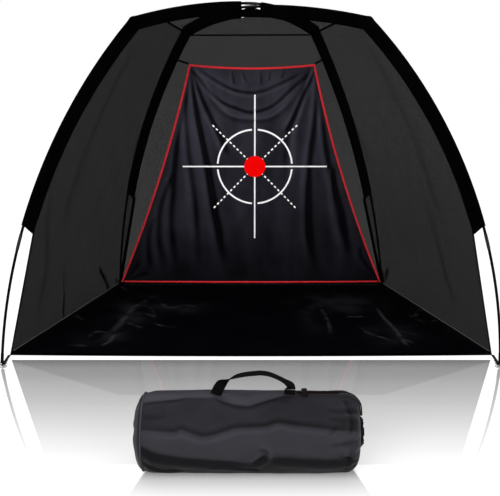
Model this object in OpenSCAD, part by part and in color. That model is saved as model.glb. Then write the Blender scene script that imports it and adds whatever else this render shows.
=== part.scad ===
// Golf chipping net: two shock-corded poles crossed over a mesh tent, a ground sheet,
// a hung target cloth and a carry bag.  Millimetres, +Z up, origin on the ground in the
// middle of the ground sheet, +Y towards the back wall.

/* [Poles] */
// Outside diameter of a pole tube
pole_od = 11; // [10:0.5:12]
// Bore of a pole tube
pole_bore = 5; // [4.8:0.1:6]
// Diameter of the elastic cord inside a pole
shock_cord_d = 3; // [2:0.5:4]
// Wall of the ferrules, elbows and end caps
ferrule_wall = 0.95; // [0.8:0.05:1.5]
// Length of a straight ferrule
ferrule_len = 60; // [40:5:90]
// Socket length at each end of an elbow
elbow_socket = 30; // [20:5:45]
// Bend radius of an elbow
elbow_r = 60; // [56:2:80]
// Length of the metal cap on a pole's lower end
cap_len = 40; // [30:5:60]

/* [Frame shape] */
// Height of the pole crossing above the ground
crown_h = 1412; // [1400:1:1424]
// Front feet, distance from the middle plane
front_foot_x = 995; // [960:5:1030]
// Front feet, distance in front of the origin
front_foot_y = 615; // [590:5:640]
// Rear feet, distance from the middle plane
rear_foot_x = 705; // [690:5:730]
// Rear feet, distance behind the origin
rear_foot_y = 550; // [540:5:570]
// Front shoulders, run from the crossing
front_shoulder_run = 562; // [550:2:580]
// Front shoulders, height
front_shoulder_h = 1349; // [1335:1:1360]
// Rear shoulders, run from the crossing
rear_shoulder_run = 359; // [345:2:370]
// Rear shoulders, height
rear_shoulder_h = 1325; // [1315:1:1335]
// Bend of a front elbow, degrees
front_bend = 31.5; // [28:0.5:34]
// Bend of a rear elbow, degrees
rear_bend = 28.5; // [26:0.5:31]

/* [Sleeves] */
// Width of a pole sleeve, from the pole's axis to its sewn inner edge
sleeve_w = 44; // [36:1:50]
// Radius of the channel that the pole runs in
channel_r = 7.6; // [7.4:0.1:9]
// Cloth thickness of a sleeve
sleeve_t = 1.2; // [0.8:0.1:1.6]
// Width of the sewn flange at a sleeve's inner edge
flange_w = 10; // [8:1:14]
// Height of the front sleeves' lower ends
front_sleeve_h = 560; // [500:10:620]
// Height of the rear sleeves' lower ends
rear_sleeve_h = 500; // [440:10:560]
// Run from the crossing to a sleeve's upper end
sleeve_start = 55; // [50:1:70]
// Height of the patch's skirt, from the sleeves' lower edges up under the crossing
crown_skirt = 32; // [10:1:33]
// Gap between the patch's corners and the sleeves' upper ends
crown_gap = 3.8; // [3.8:0.1:8]

/* [Nets and cloth] */
// Thickness of the mesh panels
net_t = 1.5; // [1:0.1:2]
// Thickness of the black seam tapes
tape_t = 1.2; // [0.8:0.1:1.6]
// Width of the black seam tapes
tape_w = 10; // [8:1:14]
// Clearance between a sewn piece and what it is sewn to
seam_gap = 0.3; // [0.3:0.05:0.5]
// Inward slack of a side panel
side_slack = 22; // [0:2:40]
// Run from the crossing to where a side seam leaves the front sleeve
side_seam_run = 425; // [380:5:460]
// Ground sheet, front width
sheet_front_w = 2000; // [1960:10:2030]
// Ground sheet, rear width
sheet_rear_w = 1410; // [1390:5:1430]
// Ground sheet, depth
sheet_depth = 1000; // [990:5:1010]
// Ground sheet thickness
sheet_t = 2; // [1.6:0.1:3]
// Forward bow of the ground sheet's front edge
sheet_bow = 14; // [6:1:24]
// Width of the hem along the ground sheet's front edge
hem_w = 20; // [14:1:30]

/* [Target] */
// Width of the target's top edge
target_top_w = 588; // [560:4:610]
// Width of the target's bottom edge
target_bottom_w = 1372; // [1340:4:1380]
// Height of the target's top edge
target_top_h = 1153; // [1140:1:1160]
// Height of the target's bottom edge
target_bottom_h = 26; // [22:1:34]
// Distance of the target's top edge behind the origin
target_top_y = 301; // [296:1:304]
// Distance of the target's bottom edge behind the origin
target_bottom_y = 455; // [450:1:462]
// Thickness of the target cloth
target_t = 1.6; // [1.2:0.1:2]
// Width of the red binding
binding_w = 10; // [8:1:14]
// Depth of the target's main folds
fold_depth = 8; // [4:1:10]
// How far the target's side edges draw in
side_draw = 26; // [10:2:40]

/* [Corner fittings] */
// Width of the corner straps
strap_w = 12; // [10:1:14]
// Thickness of the corner straps
strap_t = 2; // [1.6:0.1:2.4]
// Radius of a corner ring, to the middle of its wire
ring_r = 13; // [12:0.5:16]
// Wire radius of a corner ring
ring_wire = 1.6; // [1.2:0.1:1.7]
// Wire radius of a corner pin
pin_wire = 1.8; // [1.6:0.05:1.9]
// How far a corner pin reaches into its pole
pin_reach = 40; // [30:1:44]

/* [Carry bag] */
// Length of the bag between its end panel and its collar
bag_len = 645; // [600:5:700]
// How far the bag's closed end bulges
end_bulge = 21; // [12:1:28]
// Diameter of the bag
bag_d = 240; // [220:4:260]
// Thickness of the bag cloth
bag_t = 3; // [2:0.25:4]
// How far the bag's underside is flattened by its weight
bag_flat = 5; // [3:0.5:8]
// Distance of the bag's axis in front of the origin
bag_front = 1390; // [1380:5:1440]
// Width of the handle webbing
handle_w = 33; // [28:1:40]
// Thickness of the handle webbing
handle_t = 3; // [2:0.25:4]
// Rise of the handle above the bag
handle_rise = 70; // [60:1:80]
// Distance between the handle's feet
handle_span = 221; // [210:1:230]
// Distance of the handle's middle from the bag's middle
handle_shift = 5; // [0:1:6]
// Distance from the bag's mouth back to the drawstring's knot
string_reach = 179; // [165:1:190]
// Diameter of the drawstring
string_d = 4; // [3.6:0.1:4.2]
// Sideways size of the cord lock
lock_w = 17; // [16:0.5:20]
// Travel of the cord lock's button
button_travel = 2.5; // [2:0.25:3]
// Travel of the cord lock along the drawstring
lock_slide = 50; // [30:5:60]

/* [Hidden] */

FINE = 360;
ROUND = 32;
FRONT = 0;
REAR = 1;
LEFT = 0;
RIGHT = 1;

fit_clear = 0.05;
loose_clear = 0.3;
butt_gap = 0.15;
pole_r = pole_od / 2;
ferrule_ir = pole_r + fit_clear;
ferrule_or = ferrule_ir + ferrule_wall;
cord_bore_r = shock_cord_d / 2 + 1;
cap_floor = 3;
// The stop in the middle of a ferrule or elbow stands a little proud, as a rolled bead.
stop_half = 1.5;
bead = 0.4;
tube_end = stop_half + butt_gap;

// Corner fitting heights: the pin's eye rests on the ground and the ring lies at its middle.
eye_r = ring_wire + pin_wire + 0.6;
ring_z = eye_r + pin_wire;
foot_h = ring_z + eye_r + pin_wire + 3;
cord_end_h = pin_reach + 16;

// ---- Pole curve -------------------------------------------------------------------
// Each pole lies in one upright plane through both of its feet.  From the crossing to a foot
// it is three tangent arcs: roof, elbow and leg.  An arc is [centre run, centre height,
// radius, start angle, end angle], and its angles are the tangent's, below the horizontal.
apex_y = -front_foot_y + (front_foot_y + rear_foot_y) * front_foot_x / (front_foot_x + rear_foot_x);
foot_x = [front_foot_x, rear_foot_x];
foot_y = [-front_foot_y, rear_foot_y];
shoulder_run = [front_shoulder_run, rear_shoulder_run];
shoulder_h = [front_shoulder_h, rear_shoulder_h];
bend = [front_bend, rear_bend];
sleeve_end_h = [front_sleeve_h, rear_sleeve_h];

cross_half = ferrule_or + bead + loose_clear / 2;

function run(h) = norm([foot_x[h], foot_y[h] - apex_y]);
function crown(k) = crown_h + (k == LEFT ? 1 : -1) * cross_half;
function arc_at(q, a, off = 0) = [q[0] + (q[2] + off) * sin(a), q[1] + (q[2] + off) * cos(a)];
function arc_angle(q, len) = len / q[2] * 180 / PI;
function roof_arc(k, h) =
    let (s = shoulder_run[h], d = crown(k) - shoulder_h[h], r = (s * s + d * d) / (2 * d))
    [0, crown(k) - r, r, 0, 2 * atan(d / s)];
function elbow_arc(k, h) =
    let (q = roof_arc(k, h), p = arc_at(q, q[4]))
    [p[0] - elbow_r * sin(q[4]), p[1] - elbow_r * cos(q[4]), elbow_r, q[4], q[4] + bend[h]];
function leg_arc(k, h) =
    let (
        q = elbow_arc(k, h),
        p = arc_at(q, q[4]),
        dx = run(h) - p[0],
        dz = p[1] - foot_h,
        half = atan2(dz, dx) - q[4],
        r = norm([dx, dz]) / 2 / sin(half)
    )
    [p[0] - r * sin(q[4]), p[1] - r * cos(q[4]), r, q[4], q[4] + 2 * half];
// Angle on a leg at a given height, and on a roof at a given run.
function leg_angle(q, z) = acos((z - q[1]) / q[2]);
function roof_angle(q, s) = asin(s / q[2]);

// Direction in plan from the crossing to foot h of pole k.
function heading(k, h) =
    let (side = (k == LEFT) == (h == FRONT) ? -1 : 1)
    [side * foot_x[h], foot_y[h] - apex_y] / run(h);
// A point of the pole's plane in space, moved n along the plane's normal.
function in_space(k, h, p, n = 0) =
    let (d = heading(k, h))
    [d[0] * p[0] - d[1] * n, apex_y + d[1] * p[0] + d[0] * n, p[1]];

// ---- General pieces ---------------------------------------------------------------
module pole_plane(k, h = FRONT) {
    d = heading(k, FRONT);
    translate([0, apex_y, 0])
        rotate([0, 0, atan2(d[1], d[0])])
            mirror([h == REAR ? 1 : 0, 0, 0])
                children();
}

// Sweeps a profile along an arc from tangent angle a0 to a1.  The profile's x points
// away from the arc's centre.
module arc_sweep(q, a0, a1) {
    translate([q[0], 0, q[1]])
        rotate([90, 0, 0])
            rotate([0, 0, 90 - a1])
                rotate_extrude(angle = a1 - a0, $fn = FINE)
                    translate([q[2], 0])
                        children();
}

module ring_2d(outer, inner) {
    difference() {
        circle(r = outer, $fn = ROUND);
        circle(r = inner, $fn = ROUND);
    }
}

// Closed sheet of thickness t about a grid of points, moved off along its normals.
function unit(v) = v / norm(v);
function grid_normal(g, i, j) =
    let (
        n = len(g) - 1,
        m = len(g[0]) - 1,
        du = g[min(i + 1, n)][j] - g[max(i - 1, 0)][j],
        dv = g[i][min(j + 1, m)] - g[i][max(j - 1, 0)]
    )
    unit(cross(du, dv));
module grid_sheet(g, t, off = 0) {
    n = len(g);
    m = len(g[0]);
    under = [for (i = [0:n - 1]) for (j = [0:m - 1]) g[i][j] + (off - t / 2) * grid_normal(g, i, j)];
    over = [for (i = [0:n - 1]) for (j = [0:m - 1]) g[i][j] + (off + t / 2) * grid_normal(g, i, j)];
    c = n * m;
    faces = concat(
        [for (i = [0:n - 2]) for (j = [0:m - 2]) let (a = i * m + j) each
            [[a, a + m, a + 1], [a + 1, a + m, a + m + 1]]],
        [for (i = [0:n - 2]) for (j = [0:m - 2]) let (a = c + i * m + j) each
            [[a, a + 1, a + m], [a + 1, a + m + 1, a + m]]],
        [for (i = [0:n - 2]) let (a = i * m) each
            [[a, a + c, a + m], [a + m, a + c, a + m + c]]],
        [for (i = [0:n - 2]) let (a = i * m + m - 1) each
            [[a, a + m, a + c], [a + m, a + m + c, a + c]]],
        [for (j = [0:m - 2]) let (a = j) each
            [[a, a + 1, a + c], [a + 1, a + 1 + c, a + c]]],
        [for (j = [0:m - 2]) let (a = (n - 1) * m + j) each
            [[a, a + c, a + 1], [a + 1, a + c, a + 1 + c]]]
    );
    polyhedron(points = concat(under, over), faces = faces);
}

// Flat strap from p to q.
module strap_between(p, q, w, t) {
    v = q - p;
    translate(p)
        rotate([0, -atan2(v[2], norm([v[0], v[1]])), atan2(v[1], v[0])])
            translate([0, -w / 2, -t / 2])
                cube([norm(v), w, t]);
}

// ---- Poles ------------------------------------------------------------------------
// Legs are three tubes each, numbered downwards.
module leg_tube(k, h, i) {
    q = leg_arc(k, h);
    third = (q[4] - q[3]) / 3;
    low_gap = i == 3 ? cap_floor + butt_gap : tube_end;
    a0 = q[3] + third * (i - 1) + arc_angle(q, tube_end);
    a1 = q[3] + third * i - arc_angle(q, low_gap);
    color([0.07, 0.07, 0.07])
        pole_plane(k, h)
            arc_sweep(q, a0, a1)
                ring_2d(pole_r, pole_bore / 2);
}

// The roof is one tube on each side of the crossing.
module roof_tube(k, h) {
    q = roof_arc(k, h);
    gap = arc_angle(q, tube_end);
    color([0.07, 0.07, 0.07])
        pole_plane(k, h)
            arc_sweep(q, gap, q[4] - gap)
                ring_2d(pole_r, pole_bore / 2);
}

// A short bead at the crossing, square to both halves of the pole.
module crossing_bead(k, outer, inner, half) {
    translate([-half, 0, crown(k)])
        rotate([0, 90, 0])
            difference() {
                cylinder(r = outer, h = 2 * half, $fn = ROUND);
                if (inner > 0)
                    translate([0, 0, -1])
                        cylinder(r = inner, h = 2 * half + 2, $fn = ROUND);
            }
}

// The elastic cord runs from foot to foot, a little fatter where it turns a corner.
module shock_cord(k) {
    r = shock_cord_d / 2;
    color([0.85, 0.85, 0.83])
        pole_plane(k)
            union() {
                for (h = [FRONT, REAR]) {
                    q = roof_arc(k, h);
                    e = elbow_arc(k, h);
                    g = leg_arc(k, h);
                    mirror([h == REAR ? 1 : 0, 0, 0])
                        union() {
                            arc_sweep(q, 0, q[4])
                                circle(r = r, $fn = ROUND);
                            arc_sweep(e, e[3] - arc_angle(e, stop_half), e[4] + arc_angle(e, stop_half))
                                circle(r = r + 0.2, $fn = ROUND);
                            arc_sweep(g, g[3], g[4] - arc_angle(g, cord_end_h))
                                circle(r = r, $fn = ROUND);
                        }
                }
                crossing_bead(k, r + 0.2, 0, stop_half);
            }
}

// Straight ferrules join the leg tubes.
module ferrule(q, a) {
    half = arc_angle(q, ferrule_len / 2);
    stop = arc_angle(q, stop_half);
    union() {
        arc_sweep(q, a - half, a + half)
            ring_2d(ferrule_or, ferrule_ir);
        arc_sweep(q, a - stop, a + stop)
            ring_2d(ferrule_or + bead, pole_bore / 2);
    }
}

// At the crossing a ferrule follows the front arc on one side and the rear arc on the other.
module crossing_ferrule(k) {
    union() {
        for (h = [FRONT, REAR])
            mirror([h == REAR ? 1 : 0, 0, 0])
                arc_sweep(roof_arc(k, h), 0, arc_angle(roof_arc(k, h), ferrule_len / 2))
                    ring_2d(ferrule_or, ferrule_ir);
        crossing_bead(k, ferrule_or + bead, pole_bore / 2, stop_half);
    }
}

module pole_ferrules() {
    color([0.25, 0.25, 0.26])
        for (k = [LEFT, RIGHT]) {
            pole_plane(k)
                crossing_ferrule(k);
            for (h = [FRONT, REAR]) {
                g = leg_arc(k, h);
                for (i = [1, 2])
                    pole_plane(k, h)
                        ferrule(g, mix(g[3], g[4], i / 3));
            }
        }
}

// An elbow has a socket for the roof tube, a bend and a socket for the leg tube.
module elbow(k, h) {
    q = roof_arc(k, h);
    e = elbow_arc(k, h);
    g = leg_arc(k, h);
    color([0.25, 0.25, 0.26])
        pole_plane(k, h)
            union() {
                arc_sweep(q, q[4] - arc_angle(q, elbow_socket), q[4])
                    ring_2d(ferrule_or, ferrule_ir);
                arc_sweep(e, e[3] - arc_angle(e, stop_half), e[4] + arc_angle(e, stop_half))
                    ring_2d(ferrule_or + bead, cord_bore_r);
                arc_sweep(g, g[3], g[3] + arc_angle(g, elbow_socket))
                    ring_2d(ferrule_or, ferrule_ir);
            }
}

module front_elbows() {
    elbow(LEFT, FRONT);
    elbow(RIGHT, FRONT);
}

module rear_elbows() {
    elbow(LEFT, REAR);
    elbow(RIGHT, REAR);
}

module pole_end_caps() {
    color([0.55, 0.55, 0.56])
        for (k = [LEFT, RIGHT])
            for (h = [FRONT, REAR]) {
                q = leg_arc(k, h);
                pole_plane(k, h)
                    union() {
                        arc_sweep(q, q[4] - arc_angle(q, cap_len), q[4] - arc_angle(q, cap_floor / 2))
                            ring_2d(ferrule_or, ferrule_ir);
                        arc_sweep(q, q[4] - arc_angle(q, cap_floor), q[4])
                            ring_2d(ferrule_or + bead, pin_wire + loose_clear + 0.2);
                    }
            }
}

// ---- Corner fittings --------------------------------------------------------------
function foot_point(k, h) = let (d = heading(k, h)) [d[0] * run(h), apex_y + d[1] * run(h)];
function sheet_corner(k, h) =
    let (side = (k == LEFT) == (h == FRONT) ? -1 : 1)
    h == FRONT ? [side * sheet_front_w / 2, -sheet_depth / 2] : [side * sheet_rear_w / 2, sheet_depth / 2];
// Unit direction from a sheet corner to its foot, and the ring's centre.
function strap_dir(k, h) = unit(foot_point(k, h) - sheet_corner(k, h));
function ring_centre(k, h) = foot_point(k, h) - strap_dir(k, h) * ring_r;

module corner_pins() {
    color([0.72, 0.72, 0.74])
        for (k = [LEFT, RIGHT])
            for (h = [FRONT, REAR]) {
                q = leg_arc(k, h);
                d = strap_dir(k, h);
                f = foot_point(k, h);
                neck = foot_h - ring_z - eye_r;
                union() {
                    translate([f[0], f[1], ring_z])
                        rotate([90, 0, atan2(d[1], d[0])])
                            rotate_extrude($fn = ROUND)
                                translate([eye_r, 0])
                                    circle(r = pin_wire, $fn = ROUND);
                    pole_plane(k, h)
                        translate([run(h), 0, foot_h])
                            rotate([0, q[4] - 90, 0])
                                translate([0, 0, -neck])
                                    cylinder(r = pin_wire, h = neck + pin_reach, $fn = ROUND);
                }
            }
}

module corner_rings() {
    color([0.75, 0.75, 0.77])
        for (k = [LEFT, RIGHT])
            for (h = [FRONT, REAR]) {
                c = ring_centre(k, h);
                translate([c[0], c[1], ring_z])
                    rotate_extrude($fn = 64)
                        translate([ring_r, 0])
                            circle(r = ring_wire, $fn = ROUND);
            }
}

// A strap runs from the sheet's corner to a sewn loop round the ring's near side.
strap_loop_r = ring_wire + 1.4;
strap_slack = 0.7;
strap_start = 1.5;
module corner_strap(k, h) {
    d = strap_dir(k, h);
    c = ring_centre(k, h) - d * (ring_r - strap_slack);
    start = sheet_corner(k, h) + d * strap_start;
    drop = strap_loop_r + strap_t / 2;
    color([0.05, 0.05, 0.05])
        difference() {
            union() {
                strap_between([start[0], start[1], strap_t / 2 + 0.2],
                    [c[0], c[1], ring_z - drop + 0.1], strap_w, strap_t);
                translate([c[0], c[1], ring_z])
                    rotate([90, 0, atan2(d[1], d[0])])
                        cylinder(r = strap_loop_r + strap_t * 0.8, h = strap_w, center = true, $fn = ROUND);
            }
            translate([c[0], c[1], ring_z])
                rotate([90, 0, atan2(d[1], d[0])])
                    cylinder(r = strap_loop_r, h = strap_w + 2, center = true, $fn = ROUND);
        }
}

module front_corner_straps() {
    corner_strap(LEFT, FRONT);
    corner_strap(RIGHT, FRONT);
}

module rear_corner_straps() {
    corner_strap(LEFT, REAR);
    corner_strap(RIGHT, REAR);
}

// ---- Sleeves ----------------------------------------------------------------------
// Section of a sleeve: a cloth channel round the pole that narrows to a flat sewn flange.
function drop_outline(r, reach, w) =
    let (b = asin(r / norm([reach, w])) - atan2(w, reach))
    concat([for (i = [0:16]) let (a = -90 - b + (180 + 2 * b) * i / 16) [r * cos(a), r * sin(a)]],
        [[-reach, w], [-reach, -w]]);
module sleeve_2d() {
    difference() {
        polygon(drop_outline(channel_r + sleeve_t, sleeve_w, sleeve_t));
        polygon(drop_outline(channel_r, sleeve_w - flange_w, 0.2));
    }
}
// Doubled cloth at a shoulder, where the elbow rubs.  It laps each stretch of sleeve by
// shoulder_lap degrees of the bend.
shoulder_lap = 1.2;
module shoulder_2d() {
    difference() {
        polygon(drop_outline(channel_r + 1.4 * sleeve_t, sleeve_w - 0.6, 1.3 * sleeve_t));
        polygon(drop_outline(channel_r - 0.25 * sleeve_t, sleeve_w - flange_w - 0.8, 0.15));
    }
}

module sleeve(k, h) {
    q = roof_arc(k, h);
    e = elbow_arc(k, h);
    g = leg_arc(k, h);
    color([0.02, 0.02, 0.02])
        pole_plane(k, h)
            union() {
                arc_sweep(q, roof_angle(q, sleeve_start), q[4])
                    sleeve_2d();
                arc_sweep(e, e[3] - shoulder_lap, e[4] + shoulder_lap)
                    shoulder_2d();
                arc_sweep(g, g[3], leg_angle(g, sleeve_end_h[h]))
                    sleeve_2d();
            }
}

// A shallow cloth cup between the sleeves' upper ends, under the crossing.
module crown_patch() {
    corners = [for (c = [[LEFT, FRONT], [RIGHT, FRONT], [LEFT, REAR], [RIGHT, REAR]])
        [0, apex_y] + heading(c[0], c[1]) * (sleeve_start - crown_gap)];
    color([0.03, 0.03, 0.03])
        translate([0, 0, crown_h - cross_half - sleeve_w])
            difference() {
                linear_extrude(height = crown_skirt)
                    polygon(corners);
                translate([0, 0, 2 * sleeve_t])
                    linear_extrude(height = crown_skirt)
                        offset(delta = -2 * sleeve_t)
                            polygon(corners);
            }
}

// ---- Nets -------------------------------------------------------------------------
edge_gap = seam_gap + net_t / 3;
split = sleeve_t + net_t / 3;
base_z = sheet_t + edge_gap;
function edge_point(k, h, q, a, n = 0) =
    in_space(k, h, arc_at(q, a, -(sleeve_w + edge_gap)), n);
function mix(a, b, t) = a + (b - a) * t;
// Where the nets meet the ground sheet, a little inside its corners.
function base_point(k, h, out) =
    let (c = sheet_corner(k, h))
    [c[0] - sign(c[0]) * out[0], c[1] - sign(c[1]) * out[1], base_z];
front_base_inset = [5, 3];
side_base_inset = [5, 9];
back_base_inset = [6.5, 5.5];
LEG_ROWS = 8;
function leg_rows(k, h, n, base) =
    let (
        g = leg_arc(k, h),
        low = leg_angle(g, sleeve_end_h[h]),
        last = edge_point(k, h, g, low, n)
    )
    concat([for (i = [0:LEG_ROWS]) edge_point(k, h, g, mix(g[3], low, i / LEG_ROWS), n)],
        [mix(last, base, 1 / 3), mix(last, base, 2 / 3), base]);

// Side walls, from the front leg to the rear leg of the other pole.
SIDE_COLS = 6;
function side_of(k) = k == LEFT ? -1 : 1;
function wall_front(k) =
    let (q = roof_arc(k, FRONT))
    concat([edge_point(k, FRONT, q, roof_angle(q, side_seam_run + 3)), edge_point(k, FRONT, q, q[4])],
        leg_rows(k, FRONT, 0, base_point(k, FRONT, front_base_inset)));
function wall_rear(k) =
    let (o = 1 - k, e = elbow_arc(o, REAR), n = (o == RIGHT ? 1 : -1) * split)
    concat([edge_point(o, REAR, e, e[3] + 4, n), edge_point(o, REAR, e, e[3] + 18, n)],
        leg_rows(o, REAR, n, base_point(o, REAR, side_base_inset)));
// The same grid with its columns turned end for end, which turns its normals over.
function turned(g) = [for (r = g) [for (j = [len(r) - 1:-1:0]) r[j]]];
function wall_grid(k) =
    let (f = wall_front(k), b = wall_rear(k), n = len(f) - 1)
    [for (i = [0:n]) [for (j = [0:SIDE_COLS])
        let (v = j / SIDE_COLS, bow = side_slack * 4 * v * (1 - v) * sin(180 * i / n))
        mix(f[i], b[i], v) + [-side_of(k) * bow, 0, 0]]];
module wall_net(k) {
    color([0.16, 0.16, 0.17])
        grid_sheet(k == LEFT ? wall_grid(k) : turned(wall_grid(k)), net_t);
}

// Back wall, between the rear legs.
BACK_COLS = 6;
function back_edge(k) =
    let (e = elbow_arc(k, REAR), n = (k == RIGHT ? -1 : 1) * split)
    concat([edge_point(k, REAR, e, e[3] + 6, n)],
        leg_rows(k, REAR, n, base_point(k, REAR, back_base_inset)));
function back_grid() =
    let (l = back_edge(RIGHT), r = back_edge(LEFT))
    [for (i = [0:len(l) - 1]) [for (j = [0:BACK_COLS]) mix(l[i], r[i], j / BACK_COLS)]];
module back_wall_net() {
    color([0.2, 0.2, 0.21])
        grid_sheet(back_grid(), net_t);
}

// Roof panels: each lies between two roof sleeves.
ROOF_ROWS = 5;
ROOF_COLS = 3;
function roof_edge(k, h, last, n) =
    let (q = roof_arc(k, h))
    [for (i = [0:ROOF_ROWS])
        edge_point(k, h, q, roof_angle(q, mix(sleeve_start + 12, last, i / ROOF_ROWS)), n)];
function roof_grid(a, b) =
    [for (i = [0:ROOF_ROWS]) [for (j = [0:ROOF_COLS]) mix(a[i], b[i], j / ROOF_COLS)]];
function side_roof_grid(k) =
    roof_grid(roof_edge(k, FRONT, side_seam_run - 3, 0),
        roof_edge(1 - k, REAR, rear_shoulder_run - 3, (k == LEFT ? 1 : -1) * split));
module side_roof_net(k) {
    color([0.22, 0.22, 0.23])
        grid_sheet(k == LEFT ? side_roof_grid(k) : turned(side_roof_grid(k)), net_t);
}
function back_roof_grid() =
    roof_grid(roof_edge(RIGHT, REAR, rear_shoulder_run - 3, -split),
        roof_edge(LEFT, REAR, rear_shoulder_run - 3, split));
module back_roof_net() {
    color([0.22, 0.22, 0.23])
        grid_sheet(back_roof_grid(), net_t);
}

// Tapes lie on the outside of the nets, along their edges.
tape_off = net_t / 2 + seam_gap + tape_t / 2;
module front_edge_tape(k) {
    g = wall_grid(k);
    strip = [for (r = [1:len(g) - 1])
        let (d = unit(g[r][1] - g[r][0]))
        k == LEFT ? [g[r][0] + d, g[r][0] + d * (1 + tape_w)] : [g[r][0] + d * (1 + tape_w), g[r][0] + d]];
    color([0.02, 0.02, 0.02])
        grid_sheet(strip, tape_t, -tape_off);
}

// Seam tapes over the three lines where a roof panel meets a wall.  A flat tape bridges the
// crease between the two panels, so it rides a little higher than the other tapes.
side_seam_lift = tape_off + 1.2;
back_seam_lift = tape_off + 0.4;
seam_end = 0.03;
SEAM_STEPS = 4;
function seam_strip(p, q, down, n) =
    [for (i = [0:n]) let (c = mix(p, q, i / n)) [c - down * tape_w / 2, c + down * tape_w / 2]];
module seam_tape(p, q, out, lift) {
    along = unit(q - p);
    across = unit(cross(along, out));
    rise = unit(cross(across, along));
    strip = seam_strip(mix(p, q, seam_end), mix(p, q, 1 - seam_end), across, SEAM_STEPS);
    grid_sheet([for (s = strip) [s[0] + rise * lift, s[1] + rise * lift]], tape_t);
}
module roof_seam_tapes() {
    color([0.02, 0.02, 0.02]) {
        for (k = [LEFT, RIGHT]) {
            g = wall_grid(k);
            seam_tape(g[0][0], g[0][SIDE_COLS], [side_of(k), 0, 1.6], side_seam_lift);
        }
        b = back_grid();
        seam_tape(b[0][0], b[0][BACK_COLS], [0, 1, 1.2], back_seam_lift);
    }
}

// Bottom tapes stand on the outside of the walls' lower edges.
function base_row(g, up) =
    let (n = len(g) - 1)
    [for (j = [0:len(g[0]) - 1])
        let (u = unit(g[n - 1][j] - g[n][j]))
        [g[n][j] + u * 0.5, g[n][j] + u * (0.5 + up)]];
module net_bottom_tapes() {
    color([0.02, 0.02, 0.02]) {
        grid_sheet(base_row(wall_grid(LEFT), tape_w), tape_t, tape_off);
        grid_sheet(base_row(turned(wall_grid(RIGHT)), tape_w), tape_t, tape_off);
        grid_sheet(base_row(back_grid(), tape_w), tape_t, tape_off);
    }
}

// A tape folded round each rear corner joins the side wall to the back wall below the
// sleeve.  It runs from corner_tape_span[0] to [1] of the way from the sleeve to the sheet.
corner_tape_span = [0.03, 0.97];
corner_tape_reach = 8;
CORNER_STEPS = 6;
function corner_row(s, b, ds, db) =
    let (
        ns = unit(ds * (ds * db) - db),
        nb = unit(db * (ds * db) - ds),
        off = tape_off + seam_gap
    )
    [s + ds * corner_tape_reach + ns * off, (s + b) / 2 + unit(ns + nb) * 2 * off,
        b + db * corner_tape_reach + nb * off];
module rear_corner_tape(k) {
    w = wall_grid(k);
    g = k == LEFT ? back_grid() : turned(back_grid());
    n = len(w) - 1;
    m = len(g) - 1;
    rows = [for (i = [0:CORNER_STEPS])
        let (
            f = mix(corner_tape_span[0], corner_tape_span[1], i / CORNER_STEPS),
            s = mix(w[n - 3][SIDE_COLS], w[n][SIDE_COLS], f),
            b = mix(g[m - 3][0], g[m][0], f),
            ds = unit(mix(w[n - 3][SIDE_COLS - 1], w[n][SIDE_COLS - 1], f) - s),
            db = unit(mix(g[m - 3][1], g[m][1], f) - b)
        )
        corner_row(s, b, ds, db)];
    grid_sheet(k == LEFT ? rows : turned(rows), tape_t);
}
module rear_corner_tapes() {
    color([0.02, 0.02, 0.02])
        for (k = [LEFT, RIGHT])
            rear_corner_tape(k);
}

// ---- Ground sheet -----------------------------------------------------------------
BOW_POINTS = 12;
function front_bow(inset) =
    [for (i = [0:BOW_POINTS]) let (v = i / BOW_POINTS)
        [mix(-sheet_front_w / 2, sheet_front_w / 2, v),
            -sheet_depth / 2 - sheet_bow * 4 * v * (1 - v) + inset]];
module ground_sheet() {
    color([0.03, 0.03, 0.035])
        linear_extrude(height = sheet_t)
            polygon(concat(front_bow(0),
                [[sheet_rear_w / 2, sheet_depth / 2], [-sheet_rear_w / 2, sheet_depth / 2]]));
}
module ground_sheet_hem() {
    edge = front_bow(2);
    inner = front_bow(2 + hem_w);
    color([0.02, 0.02, 0.02])
        translate([0, 0, sheet_t])
            linear_extrude(height = tape_t)
                polygon(concat([for (i = [1:BOW_POINTS - 1]) edge[i]],
                    [for (i = [BOW_POINTS - 1:-1:1]) inner[i]]));
}

// ---- Target -----------------------------------------------------------------------
// The cloth hangs from its top edge.  u runs across from -1 to 1 and v down from 0 to 1.
TARGET_COLS = 22;
TARGET_ROWS = 24;
top_sag = 16;
bottom_sag = 4;
top_folds = 5;
low_folds = 4;
function bell(x, w) = exp(-x * x / (w * w));
function target_half(v) =
    mix(target_top_w, target_bottom_w, v) / 2 - side_draw * 4 * v * (1 - v);
// Folds: fans from the top corners, hanging swags near the top and upright folds near the foot.
function fold(u, v) =
    let (
        ru = norm([(1 - abs(u)) * 0.5, v]),
        fan = cos(atan2(v, (1 - abs(u)) * 0.5) * 2 * top_folds) * bell(ru, 0.45) * (1 - bell(ru, 0.08)),
        swag = sin(360 * (v * 3.2 - 0.35 * (1 - u * u))) * bell(v - 0.18, 0.16) * bell(u, 0.75),
        low = cos(180 * low_folds * abs(u)) * v * v * (1 - bell(1 - abs(u), 0.12))
    )
    fold_depth * (0.55 * fan + 0.3 * swag + 0.5 * low);
target_up = unit([0, target_top_y - target_bottom_y, target_top_h - target_bottom_h]);
target_out = unit([0, -target_up[2], target_up[1]]);
function target_point(u, v, lift = 0) =
    let (
        sag = mix(top_sag, bottom_sag, v) * (1 - u * u),
        flat_edge = min(1, 8 * (1 - abs(u)) + 0.15)
    )
    [u * target_half(v), mix(target_top_y, target_bottom_y, v), mix(target_top_h, target_bottom_h, v) - sag]
    + target_out * (fold(u, v) * flat_edge + lift);
module target_cloth() {
    color([0.11, 0.11, 0.13])
        grid_sheet([for (i = [0:TARGET_ROWS]) [for (j = [0:TARGET_COLS])
            target_point(2 * j / TARGET_COLS - 1, i / TARGET_ROWS)]], target_t);
}

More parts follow.
